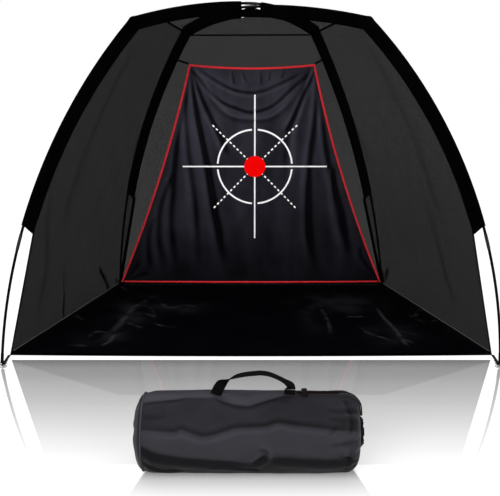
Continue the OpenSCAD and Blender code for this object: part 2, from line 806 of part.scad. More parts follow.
// The binding is four strips, one along each edge, in front of the cloth.  It follows the
// cloth's own facets, and stands off by binding_ease more than a flat seam would.
binding_ease = 0.6;
binding_lift = target_t / 2 + seam_gap + tape_t / 2 + binding_ease;
function on_cloth(u, v) =
    let (
        x = (u + 1) / 2 * TARGET_COLS,
        y = v * TARGET_ROWS,
        j = min(floor(x), TARGET_COLS - 1),
        i = min(floor(y), TARGET_ROWS - 1),
        s = x - j,
        t = y - i,
        near = s + t <= 1,
        a = target_point(2 * (near ? j : j + 1) / TARGET_COLS - 1, (near ? i : i + 1) / TARGET_ROWS),
        b = target_point(2 * (j + 1) / TARGET_COLS - 1, i / TARGET_ROWS),
        c = target_point(2 * j / TARGET_COLS - 1, (i + 1) / TARGET_ROWS)
    )
    (near ? a + s * (b - a) + t * (c - a) : a + (1 - s) * (c - a) + (1 - t) * (b - a))
    + target_out * binding_lift;
function edge_strip(side) =
    [for (i = [0:TARGET_ROWS])
        let (v = i / TARGET_ROWS, w = binding_w / target_half(v), a = on_cloth(side, v),
            b = on_cloth(side * (1 - w), v))
        side < 0 ? [a, b] : [b, a]];
function level_strip(v0, v1, cut) =
    let (us = concat([-1 + cut], [for (j = [1:TARGET_COLS - 1]) 2 * j / TARGET_COLS - 1], [1 - cut]))
    [for (v = [v0, v1]) [for (u = us) on_cloth(u, v)]];
module target_binding() {
    h = target_top_h - target_bottom_h;
    color([0.8, 0.1, 0.13]) {
        for (side = [-1, 1])
            grid_sheet(edge_strip(side), tape_t);
        grid_sheet(level_strip(0, binding_w / h, 1.1 * 2 * binding_w / target_top_w), tape_t);
        grid_sheet(level_strip(1 - binding_w / h, 1, 1.1 * 2 * binding_w / target_bottom_w), tape_t);
    }
}

// Top ties reach up and out to the rear sleeves.  Bottom ties reach to the sheet's corners.
tie_w = 10;
tie_t = 1.2;
tie_h = 1196;
// A top tie starts just off the target's corner and ends between the two nets on a sleeve.
tie_start = [1.8, 0.2, 1.8];
tie_end_gap = 2.7;
tie_end_side = 1.3;
module target_top_ties() {
    color([0.03, 0.03, 0.03])
        for (k = [LEFT, RIGHT]) {
            o = 1 - k;
            g = leg_arc(o, REAR);
            reach = sleeve_w + tie_end_gap;
            p = in_space(o, REAR, arc_at(g, leg_angle(g, tie_h), -reach), side_of(o) * tie_end_side);
            q = target_point(side_of(k), 0) + [side_of(k) * tie_start[0], tie_start[1], tie_start[2]];
            strap_between(q, p, tie_t, tie_w);
        }
}
module target_bottom_ties() {
    color([0.03, 0.03, 0.03])
        for (side = [-1, 1]) {
            q = target_point(side, 1) + [side * 1.2, 0.4, -1.2];
            p = [side * (sheet_rear_w / 2 - 24), sheet_depth / 2 - 22, sheet_t + tie_t / 2 + 0.5];
            strap_between(q, p, tie_w, tie_t);
        }
}

// ---- Carry bag --------------------------------------------------------------------
bag_r = bag_d / 2;
bag_z = bag_r - bag_flat;
bag_top = bag_z + bag_r;
bag_x0 = -bag_len / 2;
end_round = 46;
mouth_r = 24;
collar_len = 24;
collar_r = 52;
panel_t = 3;
piping_r = 3;
shoulder_steps = 8;
// Outline of the bag, as [radius, distance from the end panel], drawn in by t.
function bag_outline(t) =
    concat([[bag_r - t, 0]],
        [for (i = [0:shoulder_steps]) let (a = 90 * i / shoulder_steps)
            [bag_r - end_round + (end_round - t) * cos(a), bag_len - end_round + (end_round - t) * sin(a)]],
        [[mouth_r, bag_len - t]]);
module bag_axis() {
    translate([bag_x0, -bag_front, bag_z])
        rotate([0, 90, 0])
            children();
}
module above_ground(z) {
    translate([bag_x0 - bag_d, -bag_front - bag_d, z])
        cube([bag_len + 2 * bag_d, 2 * bag_d, 2 * bag_d]);
}
module bag_body() {
    color([0.2, 0.2, 0.21])
        difference() {
            intersection() {
                bag_axis()
                    rotate_extrude($fn = 96)
                        polygon(concat([[0, 0]], bag_outline(0), [[0, bag_len]]));
                above_ground(0);
            }
            intersection() {
                bag_axis()
                    translate([0, 0, -1])
                        rotate_extrude($fn = 96)
                            polygon(concat([[0, 0]],
                                [for (p = bag_outline(bag_t)) [p[0], p[1] == 0 ? 0 : p[1] + 1]],
                                [[0, bag_len - bag_t + 1]]));
                above_ground(bag_t);
            }
            bag_axis()
                cylinder(r = mouth_r, h = bag_len + 10, $fn = 64);
        }
}
// The end panel bulges out of the bag's open end.  Its rim is sewn in panel_in from the edge.
panel_in = 2;
module bag_end_panel() {
    rim = bag_r - bag_t - loose_clear;
    rise = end_bulge + panel_in;
    dome_r = (rim * rim + rise * rise) / (2 * rise);
    color([0.2, 0.2, 0.21])
        intersection() {
            bag_axis()
                intersection() {
                    translate([0, 0, dome_r - end_bulge])
                        difference() {
                            sphere(r = dome_r, $fn = 96);
                            sphere(r = dome_r - panel_t, $fn = 96);
                        }
                    translate([0, 0, -end_bulge - 1])
                        cylinder(r = rim, h = rise + panel_t + 1, $fn = 96);
                }
            above_ground(bag_t + loose_clear);
        }
}
// A corded seam stands round the edge of the end panel.
module bag_piping() {
    color([0.3, 0.3, 0.31])
        intersection() {
            bag_axis()
                translate([0, 0, -piping_r - loose_clear])
                    rotate_extrude($fn = 96)
                        translate([bag_r - piping_r, 0])
                            circle(r = piping_r, $fn = ROUND);
            above_ground(0.01);
        }
}
// The gathered mouth: a frilled ring of cloth with a channel for the drawstring.
frills = 14;
module bag_collar() {
    color([0.12, 0.12, 0.13])
        bag_axis()
            translate([0, 0, bag_len + loose_clear])
                difference() {
                    linear_extrude(height = collar_len)
                        union() {
                            circle(r = collar_r * 0.8, $fn = 64);
                            for (i = [0:frills - 1])
                                rotate(360 * i / frills)
                                    translate([collar_r * 0.8, 0])
                                        circle(r = collar_r * 0.2, $fn = ROUND);
                        }
                    translate([0, 0, -1])
                        cylinder(r = mouth_r, h = collar_len + 2, $fn = 64);
                    translate([0, 0, collar_len / 2])
                        rotate_extrude($fn = 64)
                            translate([loop_r, 0])
                                circle(r = string_d / 2 + loose_clear, $fn = ROUND);
                }
}
loop_r = 34;
module drawstring_loop() {
    color([0.2, 0.14, 0.11])
        bag_axis()
            translate([0, 0, bag_len + loose_clear + collar_len / 2])
                rotate_extrude($fn = 64)
                    translate([loop_r, 0])
                        circle(r = string_d / 2, $fn = ROUND);
}

// Handle: webbing that stands up from two sewn feet with its face to the front, and turns
// flat over its top.  It swings about a line along the bag's top.  Each entry of the arch is
// [share of the half span, share of the rise, turn of the webbing's width in degrees].
handle_x = bag_x0 + bag_len / 2 + handle_shift;
hub_r = 12;
hub_h = 4;
HANDLE_ARCH = [[-1, 0, 0], [-0.978, 0.1, 0], [-0.945, 0.22, 0], [-0.9, 0.36, 2], [-0.84, 0.5, 8],
    [-0.76, 0.6, 22], [-0.66, 0.695, 42], [-0.54, 0.79, 62], [-0.4, 0.87, 77], [-0.19, 0.94, 87],
    [0.04, 0.98, 90], [0.22, 1, 90], [0.42, 0.955, 90], [0.6, 0.85, 90], [0.75, 0.73, 88],
    [0.87, 0.61, 80], [0.955, 0.5, 62], [1, 0.4, 38], [1.01, 0.3, 12], [1.008, 0.2, 2],
    [1.003, 0.1, 0], [1, 0, 0]];
module handle_strap() {
    n = len(HANDLE_ARCH) - 1;
    path = [for (a = HANDLE_ARCH) [a[0] * handle_span / 2, 0, a[1] * handle_rise]];
    rows = [for (i = [0:n])
        let (
            along = unit(path[min(i + 1, n)] - path[max(i - 1, 0)]),
            turn = HANDLE_ARCH[i][2],
            aim = [cos(turn), sin(turn), 0],
            side = unit(aim - along * (aim * along))
        )
        [path[i] + side * handle_w / 2, path[i], path[i] - side * handle_w / 2]];
    grid_sheet(rows, handle_t);
}
module hub(r) {
    translate([-handle_span, 0, hub_h])
        rotate([0, 90, 0])
            cylinder(r = r, h = 2 * handle_span, $fn = 64);
}
module bag_handle() {
    color([0.04, 0.04, 0.04])
        translate([handle_x, -bag_front, bag_top])
            difference() {
                handle_strap();
                hub(hub_r);
            }
}
module handle_anchors() {
    color([0.04, 0.04, 0.04])
        translate([handle_x, -bag_front, bag_top])
            intersection() {
                handle_strap();
                hub(hub_r - loose_clear);
                translate([-handle_span, -handle_span, loose_clear])
                    cube(2 * handle_span);
            }
}

// Drawstring: two strands, one above the other, from the collar over the bag's shoulder to
// the cord lock.  Each route is a list of [distance along the bag past its mouth, height
// above the bag's axis], and the strand's ring of points is swept along it.
STRING_SIDES = 8;
string_x = bag_len - string_reach;
string_bend = 65;
string_step = 11;
string_z = 127.6;
string_pitch = 4.6;
straight = [for (x = [-string_reach:string_step:-string_bend]) x];
upper_route = concat([for (x = straight) [x, string_z + string_pitch / 2]],
    [[-58, 129.7], [-48, 128.9], [-38, 127.2], [-28, 124.7], [-18, 120], [-9, 113.2], [-0.6, 103.4],
        [5.8, 91.6], [9.4, 80], [11.2, 68], [12, 58], [12.2, 52.5]]);
lower_route = concat([for (x = straight) [x, string_z - string_pitch / 2]],
    [[-58, 125], [-48, 124], [-38, 122.4], [-28, 119.4], [-19, 114.8], [-11, 108.4], [-4, 99.6],
        [1.6, 89], [4.6, 78], [6.4, 66], [7, 58], [7, 52.5]]);
function route_dir(r, i) =
    let (n = len(r) - 1)
    unit(r[min(i + 1, n)] - r[max(i - 1, 0)]);
module strand(route) {
    n = len(route);
    start = [bag_x0 + bag_len, -bag_front, bag_z];
    ring = [for (i = [0:n - 1]) let (d = route_dir(route, i)) for (s = [0:STRING_SIDES - 1])
        let (a = 360 * s / STRING_SIDES, w = string_d / 2 * cos(a))
        start + [route[i][0] - d[1] * w, string_d / 2 * sin(a), route[i][1] + d[0] * w]];
    faces = concat(
        [[for (s = [STRING_SIDES - 1:-1:0]) s]],
        [[for (s = [0:STRING_SIDES - 1]) (n - 1) * STRING_SIDES + s]],
        [for (i = [0:n - 2]) for (s = [0:STRING_SIDES - 1])
            let (a = i * STRING_SIDES + s, b = i * STRING_SIDES + (s + 1) % STRING_SIDES) each
            [[a, b, a + STRING_SIDES], [b, b + STRING_SIDES, a + STRING_SIDES]]]
    );
    polyhedron(points = ring, faces = faces);
}
module drawstring() {
    color([0.2, 0.14, 0.11]) {
        strand(upper_route);
        strand(lower_route);
    }
}

// A whipped knot joins the two strands' free ends.
knot_r = 5;
knot_len = 8;
module drawstring_knots() {
    color([0.2, 0.14, 0.11])
        translate([bag_x0 + string_x, -bag_front, bag_z + string_z])
            rotate([0, -90, 0])
                rotate_extrude($fn = ROUND)
                    polygon([[0, 0], [knot_r - 1, 0], [knot_r, 2], [knot_r, knot_len - 2],
                        [knot_r - 1.6, knot_len], [0, knot_len]]);
}

// Cord lock: a barrel with a sprung button.  Both strands pass through both of them.
lock_x = string_x + 16;
lock_half_h = 7.2;
lock_len = 25;
lock_front = 11;
cavity_x = 9.4;
cavity_h = 12;
pass_w = string_d + 0.8;
pass_h = 2 * string_d + 1.4;
button_out = 4;
button_in = 15.2;
module rounded_box(size, r) {
    hull()
        for (x = [-1, 1], z = [-1, 1])
            translate([x * (size[0] / 2 - r), 0, z * (size[2] / 2 - r)])
                rotate([-90, 0, 0])
                    cylinder(r = r, h = size[1], $fn = ROUND);
}
module cord_lock_body() {
    color([0.05, 0.04, 0.04])
        translate([bag_x0 + lock_x, -bag_front, bag_z + string_z])
            difference() {
                translate([0, -lock_front, 0])
                    rounded_box([lock_w, lock_len, 2 * lock_half_h], 3);
                translate([-cavity_x / 2, -lock_front - 1, -cavity_h / 2])
                    cube([cavity_x, lock_len - 1, cavity_h]);
                cube([lock_w + 2, pass_w, pass_h], center = true);
            }
}
button_x = cavity_x - 2 * loose_clear;
button_h = cavity_h - 2 * loose_clear;
module cord_lock_button() {
    color([0.05, 0.04, 0.04])
        translate([bag_x0 + lock_x, -bag_front, bag_z + string_z])
            difference() {
                translate([-button_x / 2, -lock_front - button_out, -button_h / 2])
                    cube([button_x, button_out + button_in, button_h]);
                translate([-cavity_x, -pass_w / 2 - button_travel, -pass_h / 2])
                    cube([2 * cavity_x, pass_w + button_travel, pass_h]);
            }
}

leg_tube(LEFT, FRONT, 1);  // left_pole_front_tube_1
leg_tube(LEFT, FRONT, 2);  // left_pole_front_tube_2
leg_tube(LEFT, FRONT, 3);  // left_pole_front_tube_3
roof_tube(LEFT, FRONT);  // left_pole_roof_tube_front
roof_tube(LEFT, REAR);  // left_pole_roof_tube_rear
leg_tube(LEFT, REAR, 1);  // left_pole_rear_tube_1
leg_tube(LEFT, REAR, 2);  // left_pole_rear_tube_2
leg_tube(LEFT, REAR, 3);  // left_pole_rear_tube_3
leg_tube(RIGHT, FRONT, 1);  // right_pole_front_tube_1
leg_tube(RIGHT, FRONT, 2);  // right_pole_front_tube_2
leg_tube(RIGHT, FRONT, 3);  // right_pole_front_tube_3
roof_tube(RIGHT, FRONT);  // right_pole_roof_tube_front
roof_tube(RIGHT, REAR);  // right_pole_roof_tube_rear
leg_tube(RIGHT, REAR, 1);  // right_pole_rear_tube_1
leg_tube(RIGHT, REAR, 2);  // right_pole_rear_tube_2
leg_tube(RIGHT, REAR, 3);  // right_pole_rear_tube_3
shock_cord(LEFT);  // left_pole_shock_cord
shock_cord(RIGHT);  // right_pole_shock_cord
pole_ferrules();
front_elbows();
rear_elbows();
pole_end_caps();
corner_pins();
corner_rings();
front_corner_straps();
rear_corner_straps();
sleeve(LEFT, FRONT);  // left_front_sleeve
sleeve(RIGHT, FRONT);  // right_front_sleeve
sleeve(RIGHT, REAR);  // left_rear_sleeve
sleeve(LEFT, REAR);  // right_rear_sleeve
crown_patch();
wall_net(LEFT);  // left_wall_net
wall_net(RIGHT);  // right_wall_net
back_wall_net();
side_roof_net(LEFT);  // left_roof_net
side_roof_net(RIGHT);  // right_roof_net
back_roof_net();
front_edge_tape(LEFT);  // left_front_edge_tape
front_edge_tape(RIGHT);  // right_front_edge_tape
roof_seam_tapes();
net_bottom_tapes();
rear_corner_tapes();
ground_sheet();
ground_sheet_hem();
target_cloth();
target_binding();
target_top_ties();
target_bottom_ties();
bag_body();
bag_end_panel();
bag_collar();
bag_piping();
bag_handle();
handle_anchors();
drawstring();
drawstring_loop();
drawstring_knots();
cord_lock_body();
cord_lock_button();
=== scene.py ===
import math

import bpy
import numpy as np
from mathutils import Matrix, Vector, noise


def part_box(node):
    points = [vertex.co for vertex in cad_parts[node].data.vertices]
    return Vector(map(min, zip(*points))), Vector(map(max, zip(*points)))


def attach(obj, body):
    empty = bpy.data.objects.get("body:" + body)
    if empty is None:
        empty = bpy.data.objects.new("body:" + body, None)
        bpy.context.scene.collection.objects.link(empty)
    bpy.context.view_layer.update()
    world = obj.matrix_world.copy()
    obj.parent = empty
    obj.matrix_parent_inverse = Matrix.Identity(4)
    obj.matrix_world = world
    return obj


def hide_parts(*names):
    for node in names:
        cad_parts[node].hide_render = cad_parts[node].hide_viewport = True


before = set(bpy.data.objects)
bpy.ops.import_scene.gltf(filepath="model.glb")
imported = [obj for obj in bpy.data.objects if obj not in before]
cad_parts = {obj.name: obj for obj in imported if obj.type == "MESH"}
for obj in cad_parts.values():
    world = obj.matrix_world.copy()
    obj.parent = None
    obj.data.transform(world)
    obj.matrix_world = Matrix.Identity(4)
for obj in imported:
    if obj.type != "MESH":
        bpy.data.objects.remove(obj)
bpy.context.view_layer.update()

# ---- Sizes of the tent, in metres, as the CAD has them ------------------------------
FRONT, REAR = 0, 1
LEFT, RIGHT = 0, 1
CROWN_H = 1.412
CROSS_HALF = 0.00705
FOOT = ((0.995, -0.615), (0.705, 0.550))
FOOT_H = 0.0146
SHOULDER_RUN = (0.562, 0.359)
SHOULDER_H = (1.349, 1.325)
BEND = (math.radians(31.5), math.radians(28.5))
ELBOW_R = 0.060
SLEEVE_END_H = (0.560, 0.500)
SLEEVE_START = 0.055
SLEEVE_W = 0.044
CHANNEL_R = 0.0076
SLEEVE_T = 0.0012
NET_T = 0.0015
MESH_T = 0.0006
SEAM_GAP = 0.0003
TAPE_W = 0.010
TAPE_T = 0.0012
SIDE_SEAM_RUN = 0.425
SIDE_SLACK = 0.022
EDGE = SLEEVE_W + SEAM_GAP + NET_T / 3
SPLIT = SLEEVE_T + NET_T / 3

# The ground sheet's corners, and its hem.
SHEET_FRONT, SHEET_REAR, SHEET_DEPTH = 2.000, 1.410, 1.000
SHEET_T = 0.002
SHEET_BOW = 0.014
HEM_W = 0.020
BASE_Z = SHEET_T + SEAM_GAP + NET_T / 3

# The target: width, and (y, z) of its top and bottom edges.
TOP_W, BOTTOM_W = 0.588, 1.372
TOP = (0.301, 1.153)
BOTTOM = (0.455, 0.026)
SIDE_DRAW = 0.026
TOP_SHIFT = 0.010
TOP_SAG, BOTTOM_SAG = 0.016, 0.004
BINDING_W = 0.010
TARGET_T = 0.0016

# The camera that the photograph was fitted with.
CAMERA_AT = np.array([0, -3.60, 1.26])
CAMERA_TILT, LENS_MM, LENS_SHIFT = 75.5, 57.67, -0.002

# The bag.
BAG_Y = -1.390
BAG_R = 0.120
BAG_Z = 0.115
BAG_SEAM_X, BAG_RIGHT = -0.3225, 0.3225
END_BULGE = 0.029
BAG_PUFF = 0.0016
END_ROUND = 0.046
COLLAR_END = 0.3390
MOUTH_R = 0.026
HANDLE_X = 0.005
HANDLE_HALF, HANDLE_RISE = 0.1105, 0.070
HANDLE_W, HANDLE_T = 0.033, 0.0026
CORD_D = 0.004
NET_PITCH, BRAID_PITCH = 0.0030, 0.0022
BAG_SKIN, PANEL_SKIN, FRILL_SKIN = 0.0014, 0.0015, 0.0022
PIPING_R = 0.0026
MOUTH_LOOP_R = 0.0335 * 0.82


# ---- Small maths ------------------------------------------------------------------
def unit(v):
    v = np.asarray(v, float)
    return v / np.maximum(np.linalg.norm(v, axis=-1, keepdims=True), 1e-12)


def mix(a, b, t):
    return a + (b - a) * t


def between(a, b, share):
    """A grid with a row from each point of a to the same point of b."""
    return mix(a[:, None], b[:, None], share[:, None])


def stacked(*parts):
    return np.stack(np.broadcast_arrays(*parts), -1).copy()


def run_along(path):
    """The length of a path up to each of its points."""
    return np.concatenate([[0], np.cumsum(np.linalg.norm(np.diff(path, axis=0), axis=1))])


def clear_of_edges(s, v, across, down):
    """Nothing at a grid's edges and more inside, rising by across and by down."""
    return across * (v * (1 - v))[None] * np.clip(s * (1 - s) * down, 0, 1)[:, None]


def bell(x, w):
    return np.exp(-((x / w) ** 2))


def smooth(x, low, high):
    t = np.clip((x - low) / (high - low), 0, 1)
    return t * t * (3 - 2 * t)


def curve_through(points, n):
    """n points on a smooth curve through the given ones."""
    p = np.asarray(points, float)
    p = np.vstack([2 * p[0] - p[1], p, 2 * p[-1] - p[-2]])
    s = np.linspace(0, len(p) - 3 - 1e-9, n)
    i = s.astype(int)
    t = (s - i)[:, None]
    a, b, c, d = p[i], p[i + 1], p[i + 2], p[i + 3]
    squared, cubed = 2 * a - 5 * b + 4 * c - d, 3 * b - a - 3 * c + d
    return 0.5 * (2 * b + (c - a) * t + squared * t**2 + cubed * t**3)


def noise_on(points, scale, seed=0.0):
    """Smooth noise from -1 to 1 at each of the points."""
    points = np.asarray(points, float)
    moved = points.reshape(-1, 3) * scale + [seed, -seed, 0.5 * seed]
    return np.array([noise.noise(Vector(p)) for p in moved]).reshape(points.shape[:-1])


def crease(at, points, width, depth, lip=0.5, fade=(0.15, 0.2), spread=0.0):
    """Height of a cloth fold along a curve in the plane, at each place in at.

    The fold is a valley with a raised lip on its left. It fades in and out over the shares
    of its length given by fade, and its width grows by spread along it."""
    line = curve_through(points, 60)
    head = unit(np.gradient(line, axis=0))
    q = at.reshape(-1, 2)
    i = ((q[:, None, :] - line[None, :, :]) ** 2).sum(2).argmin(1)
    off = q - line[i]
    ahead = (off * head[i]).sum(1)
    step = np.linalg.norm(np.diff(line, axis=0), axis=1).mean()
    beyond = np.maximum(np.abs(ahead) - step, 0)
    side = head[i, 0] * off[:, 1] - head[i, 1] * off[:, 0]
    side = np.where(side < 0, -1, 1) * np.hypot(side, beyond)
    s = np.clip((i + np.clip(ahead / step, -0.5, 0.5)) / (len(line) - 1), 0, 1)
    w = width * (1 + spread * s)
    strength = smooth(s, -0.02, fade[0]) * (1 - smooth(s, 1 - fade[1], 1.02))
    lips = bell(side - 1.7 * w, 1.1 * w) + 0.35 * bell(side + 1.9 * w, 1.2 * w)
    return (depth * strength * (lip * lips - bell(side, w))).reshape(at.shape[:-1])


# ---- The pole line: three tangent arcs from the crossing to each foot ----------------
APEX_Y = FOOT[0][1] + (FOOT[1][1] - FOOT[0][1]) * FOOT[0][0] / (FOOT[0][0] + FOOT[1][0])


def run(h):
    return math.hypot(FOOT[h][0], FOOT[h][1] - APEX_Y)


def side_at(k, h):
    """-1 or 1 for the side on which pole k comes down at end h."""
    return -1 if (k == LEFT) == (h == FRONT) else 1


def side_of(k):
    return side_at(k, FRONT)


def heading(k, h):
    return np.array([side_at(k, h) * FOOT[h][0], FOOT[h][1] - APEX_Y]) / run(h)


def arc_at(q, a, off=0.0):
    a = np.asarray(a, float)
    return np.stack([q[0] + (q[2] + off) * np.sin(a), q[1] + (q[2] + off) * np.cos(a)], -1)


def pole_arcs(k, h):
    """Roof, elbow and leg arcs: (centre run, centre height, radius, first and last angle)."""
    crown = CROWN_H + (CROSS_HALF if k == LEFT else -CROSS_HALF)
    s, d = SHOULDER_RUN[h], crown - SHOULDER_H[h]
    r = (s * s + d * d) / (2 * d)
    a = 2 * math.atan(d / s)
    roof = (0.0, crown - r, r, 0.0, a)
    p = arc_at(roof, a)
    elbow = (p[0] - ELBOW_R * math.sin(a), p[1] - ELBOW_R * math.cos(a), ELBOW_R, a, a + BEND[h])
    a = elbow[4]
    p = arc_at(elbow, a)
    dx, dz = run(h) - p[0], p[1] - FOOT_H
    half = math.atan2(dz, dx) - a
    r = math.hypot(dx, dz) / 2 / math.sin(half)
    return roof, elbow, (p[0] - r * math.sin(a), p[1] - r * math.cos(a), r, a, a + 2 * half)


def in_space(k, h, p, n=0.0):
    """Points of the pole's upright plane in space, moved n along the plane's normal."""
    d = heading(k, h)
    p = np.asarray(p, float)
    return stacked(d[0] * p[..., 0] - d[1] * n, APEX_Y + d[1] * p[..., 0] + d[0] * n, p[..., 1])


def leg_angle(leg, z):
    return math.acos((z - leg[1]) / leg[2])


def sheet_corner(k, h):
    wide, y = (SHEET_FRONT, -SHEET_DEPTH / 2) if h == FRONT else (SHEET_REAR, SHEET_DEPTH / 2)
    return side_at(k, h) * wide / 2, y


def base_point(k, h, inset):
    x, y = sheet_corner(k, h)
    return np.array([x - math.copysign(inset[0], x), y - math.copysign(inset[1], y), BASE_Z])


# ---- Mesh builders ----------------------------------------------------------------
def link(name, data):
    obj = bpy.data.objects.new(name, data)
    bpy.context.scene.collection.objects.link(obj)
    return obj


def new_mesh(name, points, faces, material, uv=None, smooth_shade=True):
    mesh = bpy.data.meshes.new(name)
    points = np.asarray(points, float).reshape(-1, 3)
    mesh.from_pydata([tuple(p) for p in points], [], [tuple(f) for f in faces])
    if uv is not None:
        layer = mesh.uv_layers.new(name="cloth")
        corner = np.zeros(len(mesh.loops), np.int32)
        mesh.loops.foreach_get("vertex_index", corner)
        layer.data.foreach_set("uv", np.asarray(uv, np.float32).reshape(-1, 2)[corner].ravel())
    mesh.polygons.foreach_set("use_smooth", [smooth_shade] * len(mesh.polygons))
    mesh.materials.append(material)
    mesh.update()
    return link(name, mesh)


def grid_normals(p):
    return unit(np.cross(np.gradient(p, axis=0), np.gradient(p, axis=1)))


def flat_of(p):
    """Flat coordinates of a grid, in metres: across from its middle, and down."""
    across, down = np.zeros(p.shape[:2]), np.zeros(p.shape[:2])
    across[:, 1:] = np.cumsum(np.linalg.norm(np.diff(p, axis=1), axis=2), axis=1)
    down[1:] = np.cumsum(np.linalg.norm(np.diff(p, axis=0), axis=2), axis=0)
    return np.stack([across - across[:, -1:] / 2, down], -1)


def shade(obj, name, values):
    """Stores a number for each vertex, which the material reads by its name.

    Both faces of a sheet take the same numbers."""
    values = np.resize(np.asarray(values, np.float32), len(obj.data.vertices))
    obj.data.attributes.new(name, "FLOAT", "POINT").data.foreach_set("value", values)


def closed_sheet(name, p, thickness, material, flat=None, offset=0.0):
    """A closed mesh of a thin sheet about the grid of points p."""
    n, m = p.shape[:2]
    normal = grid_normals(p)
    skins = [p + (offset + side * thickness / 2) * normal for side in (1, -1)]
    i, j = np.meshgrid(np.arange(n - 1), np.arange(m - 1), indexing="ij")
    a = (i * m + j).ravel()
    c = n * m
    quads = np.stack([a, a + m, a + m + 1, a + 1], 1)
    index = np.arange(c).reshape(n, m)
    ring = np.concatenate([index[0], index[1:, -1], index[-1, -2::-1], index[-2:0:-1, 0]])
    onward = np.roll(ring, -1)
    faces = [quads, quads[:, ::-1] + c, np.stack([ring, onward, onward + c, ring + c], 1)]
    uv = np.concatenate([flat_of(p) if flat is None else flat] * 2)
    return new_mesh(name, np.concatenate(skins), np.concatenate(faces), material, uv)


def rings_mesh(name, rings, material, uv=None, loop=False):
    """A mesh from rings of points, each closed on itself, with caps unless it is a loop."""
    n, m = rings.shape[:2]
    faces = []
    for i in range(n if loop else n - 1):
        a, b = i * m, (i + 1) % n * m
        faces += [(a + j, a + (j + 1) % m, b + (j + 1) % m, b + j) for j in range(m)]
    if not loop:
        faces += [tuple(range(m - 1, -1, -1)), tuple(range((n - 1) * m, n * m))]
    return new_mesh(name, rings, faces, material, uv)


def shell(name, outer, inner, uv, material, tone=None):
    """A closed skin from two sets of rings, the inner one turned back inside the outer."""
    def there_and_back(a, b):
        return np.concatenate([a, b[::-1]])[:, ::-1]

    rings, uv = there_and_back(outer, inner), there_and_back(uv, uv)
    obj = rings_mesh(name, rings, material, uv, loop=True)
    if tone is not None:
        shade(obj, "tone", there_and_back(tone, tone))
    return obj


def tube(name, path, radius, material, sides=12, up=(0, 1, 0.01), loop=False):
    """A round tube along a path, with ends, or without them along a closed path."""
    path = np.asarray(path, float)
    tangent = np.roll(path, -1, 0) - np.roll(path, 1, 0) if loop else np.gradient(path, axis=0)
    tangent = unit(tangent)
    side = unit(np.cross(tangent, np.broadcast_to(np.asarray(up, float), path.shape)))
    top = unit(np.cross(side, tangent))
    a = np.linspace(0, 2 * math.pi, sides, endpoint=False)
    r = np.broadcast_to(np.asarray(radius, float), len(path))[:, None, None]
    rings = side[:, None] * np.cos(a)[:, None] + top[:, None] * np.sin(a)[:, None]
    uv = stacked(a * np.mean(radius), run_along(path)[:, None])
    return rings_mesh(name, path[:, None] + r * rings, material, uv, loop)


def ribbon(name, path, width, thickness, material, side):
    """Flat webbing along a path. side gives the direction of its width at each point."""
    path = np.asarray(path, float)
    side = unit(np.broadcast_to(np.asarray(side, float), path.shape))
    tangent = unit(np.gradient(path, axis=0))
    side = unit(side - tangent * (side * tangent).sum(1)[:, None])
    top = np.cross(side, tangent)
    w, t, r = width / 2, thickness / 2, thickness * 0.35
    half = [(-w, -t + r), (-w + r, -t), (-w / 3, -t), (w / 3, -t), (w - r, -t), (w, -t + r)]
    section = np.array(half + [(-x, -y) for x, y in half])
    rings = path[:, None] + side[:, None] * section[:, :1] + top[:, None] * section[:, 1:]
    return rings_mesh(name, rings, material, stacked(section[:, 0], run_along(path)[:, None]))


def joined(name, objects):
    """One object from several."""
    with bpy.context.temp_override(active_object=objects[0], selected_editable_objects=objects):
        bpy.ops.object.join()
    objects[0].name = name
    return objects[0]


def place(obj, body, slot, *nodes):
    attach(obj, body)
    if nodes:
        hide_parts(*nodes)
    return obj


REAR_SLEEVES = ["left_rear_sleeve_cloth", "right_rear_sleeve_cloth"]


def hang(obj, p, held="stretched", rests_on=REAR_SLEEVES, **more):
    """Works out the areas of the halves of the cells of a sheet's grid p, and keeps nothing."""
    a, b, c, d = p[:-1, :-1], p[1:, :-1], p[1:, 1:], p[:-1, 1:]
    halves = [np.linalg.norm(np.cross(q - a, r - a), axis=2) for q, r in ((b, c), (c, d))]


# ---- Materials --------------------------------------------------------------------
class Value:
    """A number in a node tree that takes part in sums. | gives the larger of two."""

    def __init__(self, nodes, socket):
        self.nodes, self.socket = nodes, socket

    def __abs__(self):
        return self.nodes.math("ABSOLUTE", self)

    def __add__(self, other):
        return self.nodes.math("ADD", self, other)

    def __sub__(self, other):
        return self.nodes.math("SUBTRACT", self, other)

    def __rsub__(self, other):
        return self.nodes.math("SUBTRACT", other, self)

    def __mul__(self, other):
        return self.nodes.math("MULTIPLY", self, other)

    def __truediv__(self, other):
        return self.nodes.math("DIVIDE", self, other)

    def __lt__(self, other):
        return self.nodes.math("LESS_THAN", self, other)

    def __gt__(self, other):
        return self.nodes.math("GREATER_THAN", self, other)

    def __or__(self, other):
        return self.nodes.math("MAXIMUM", self, other)


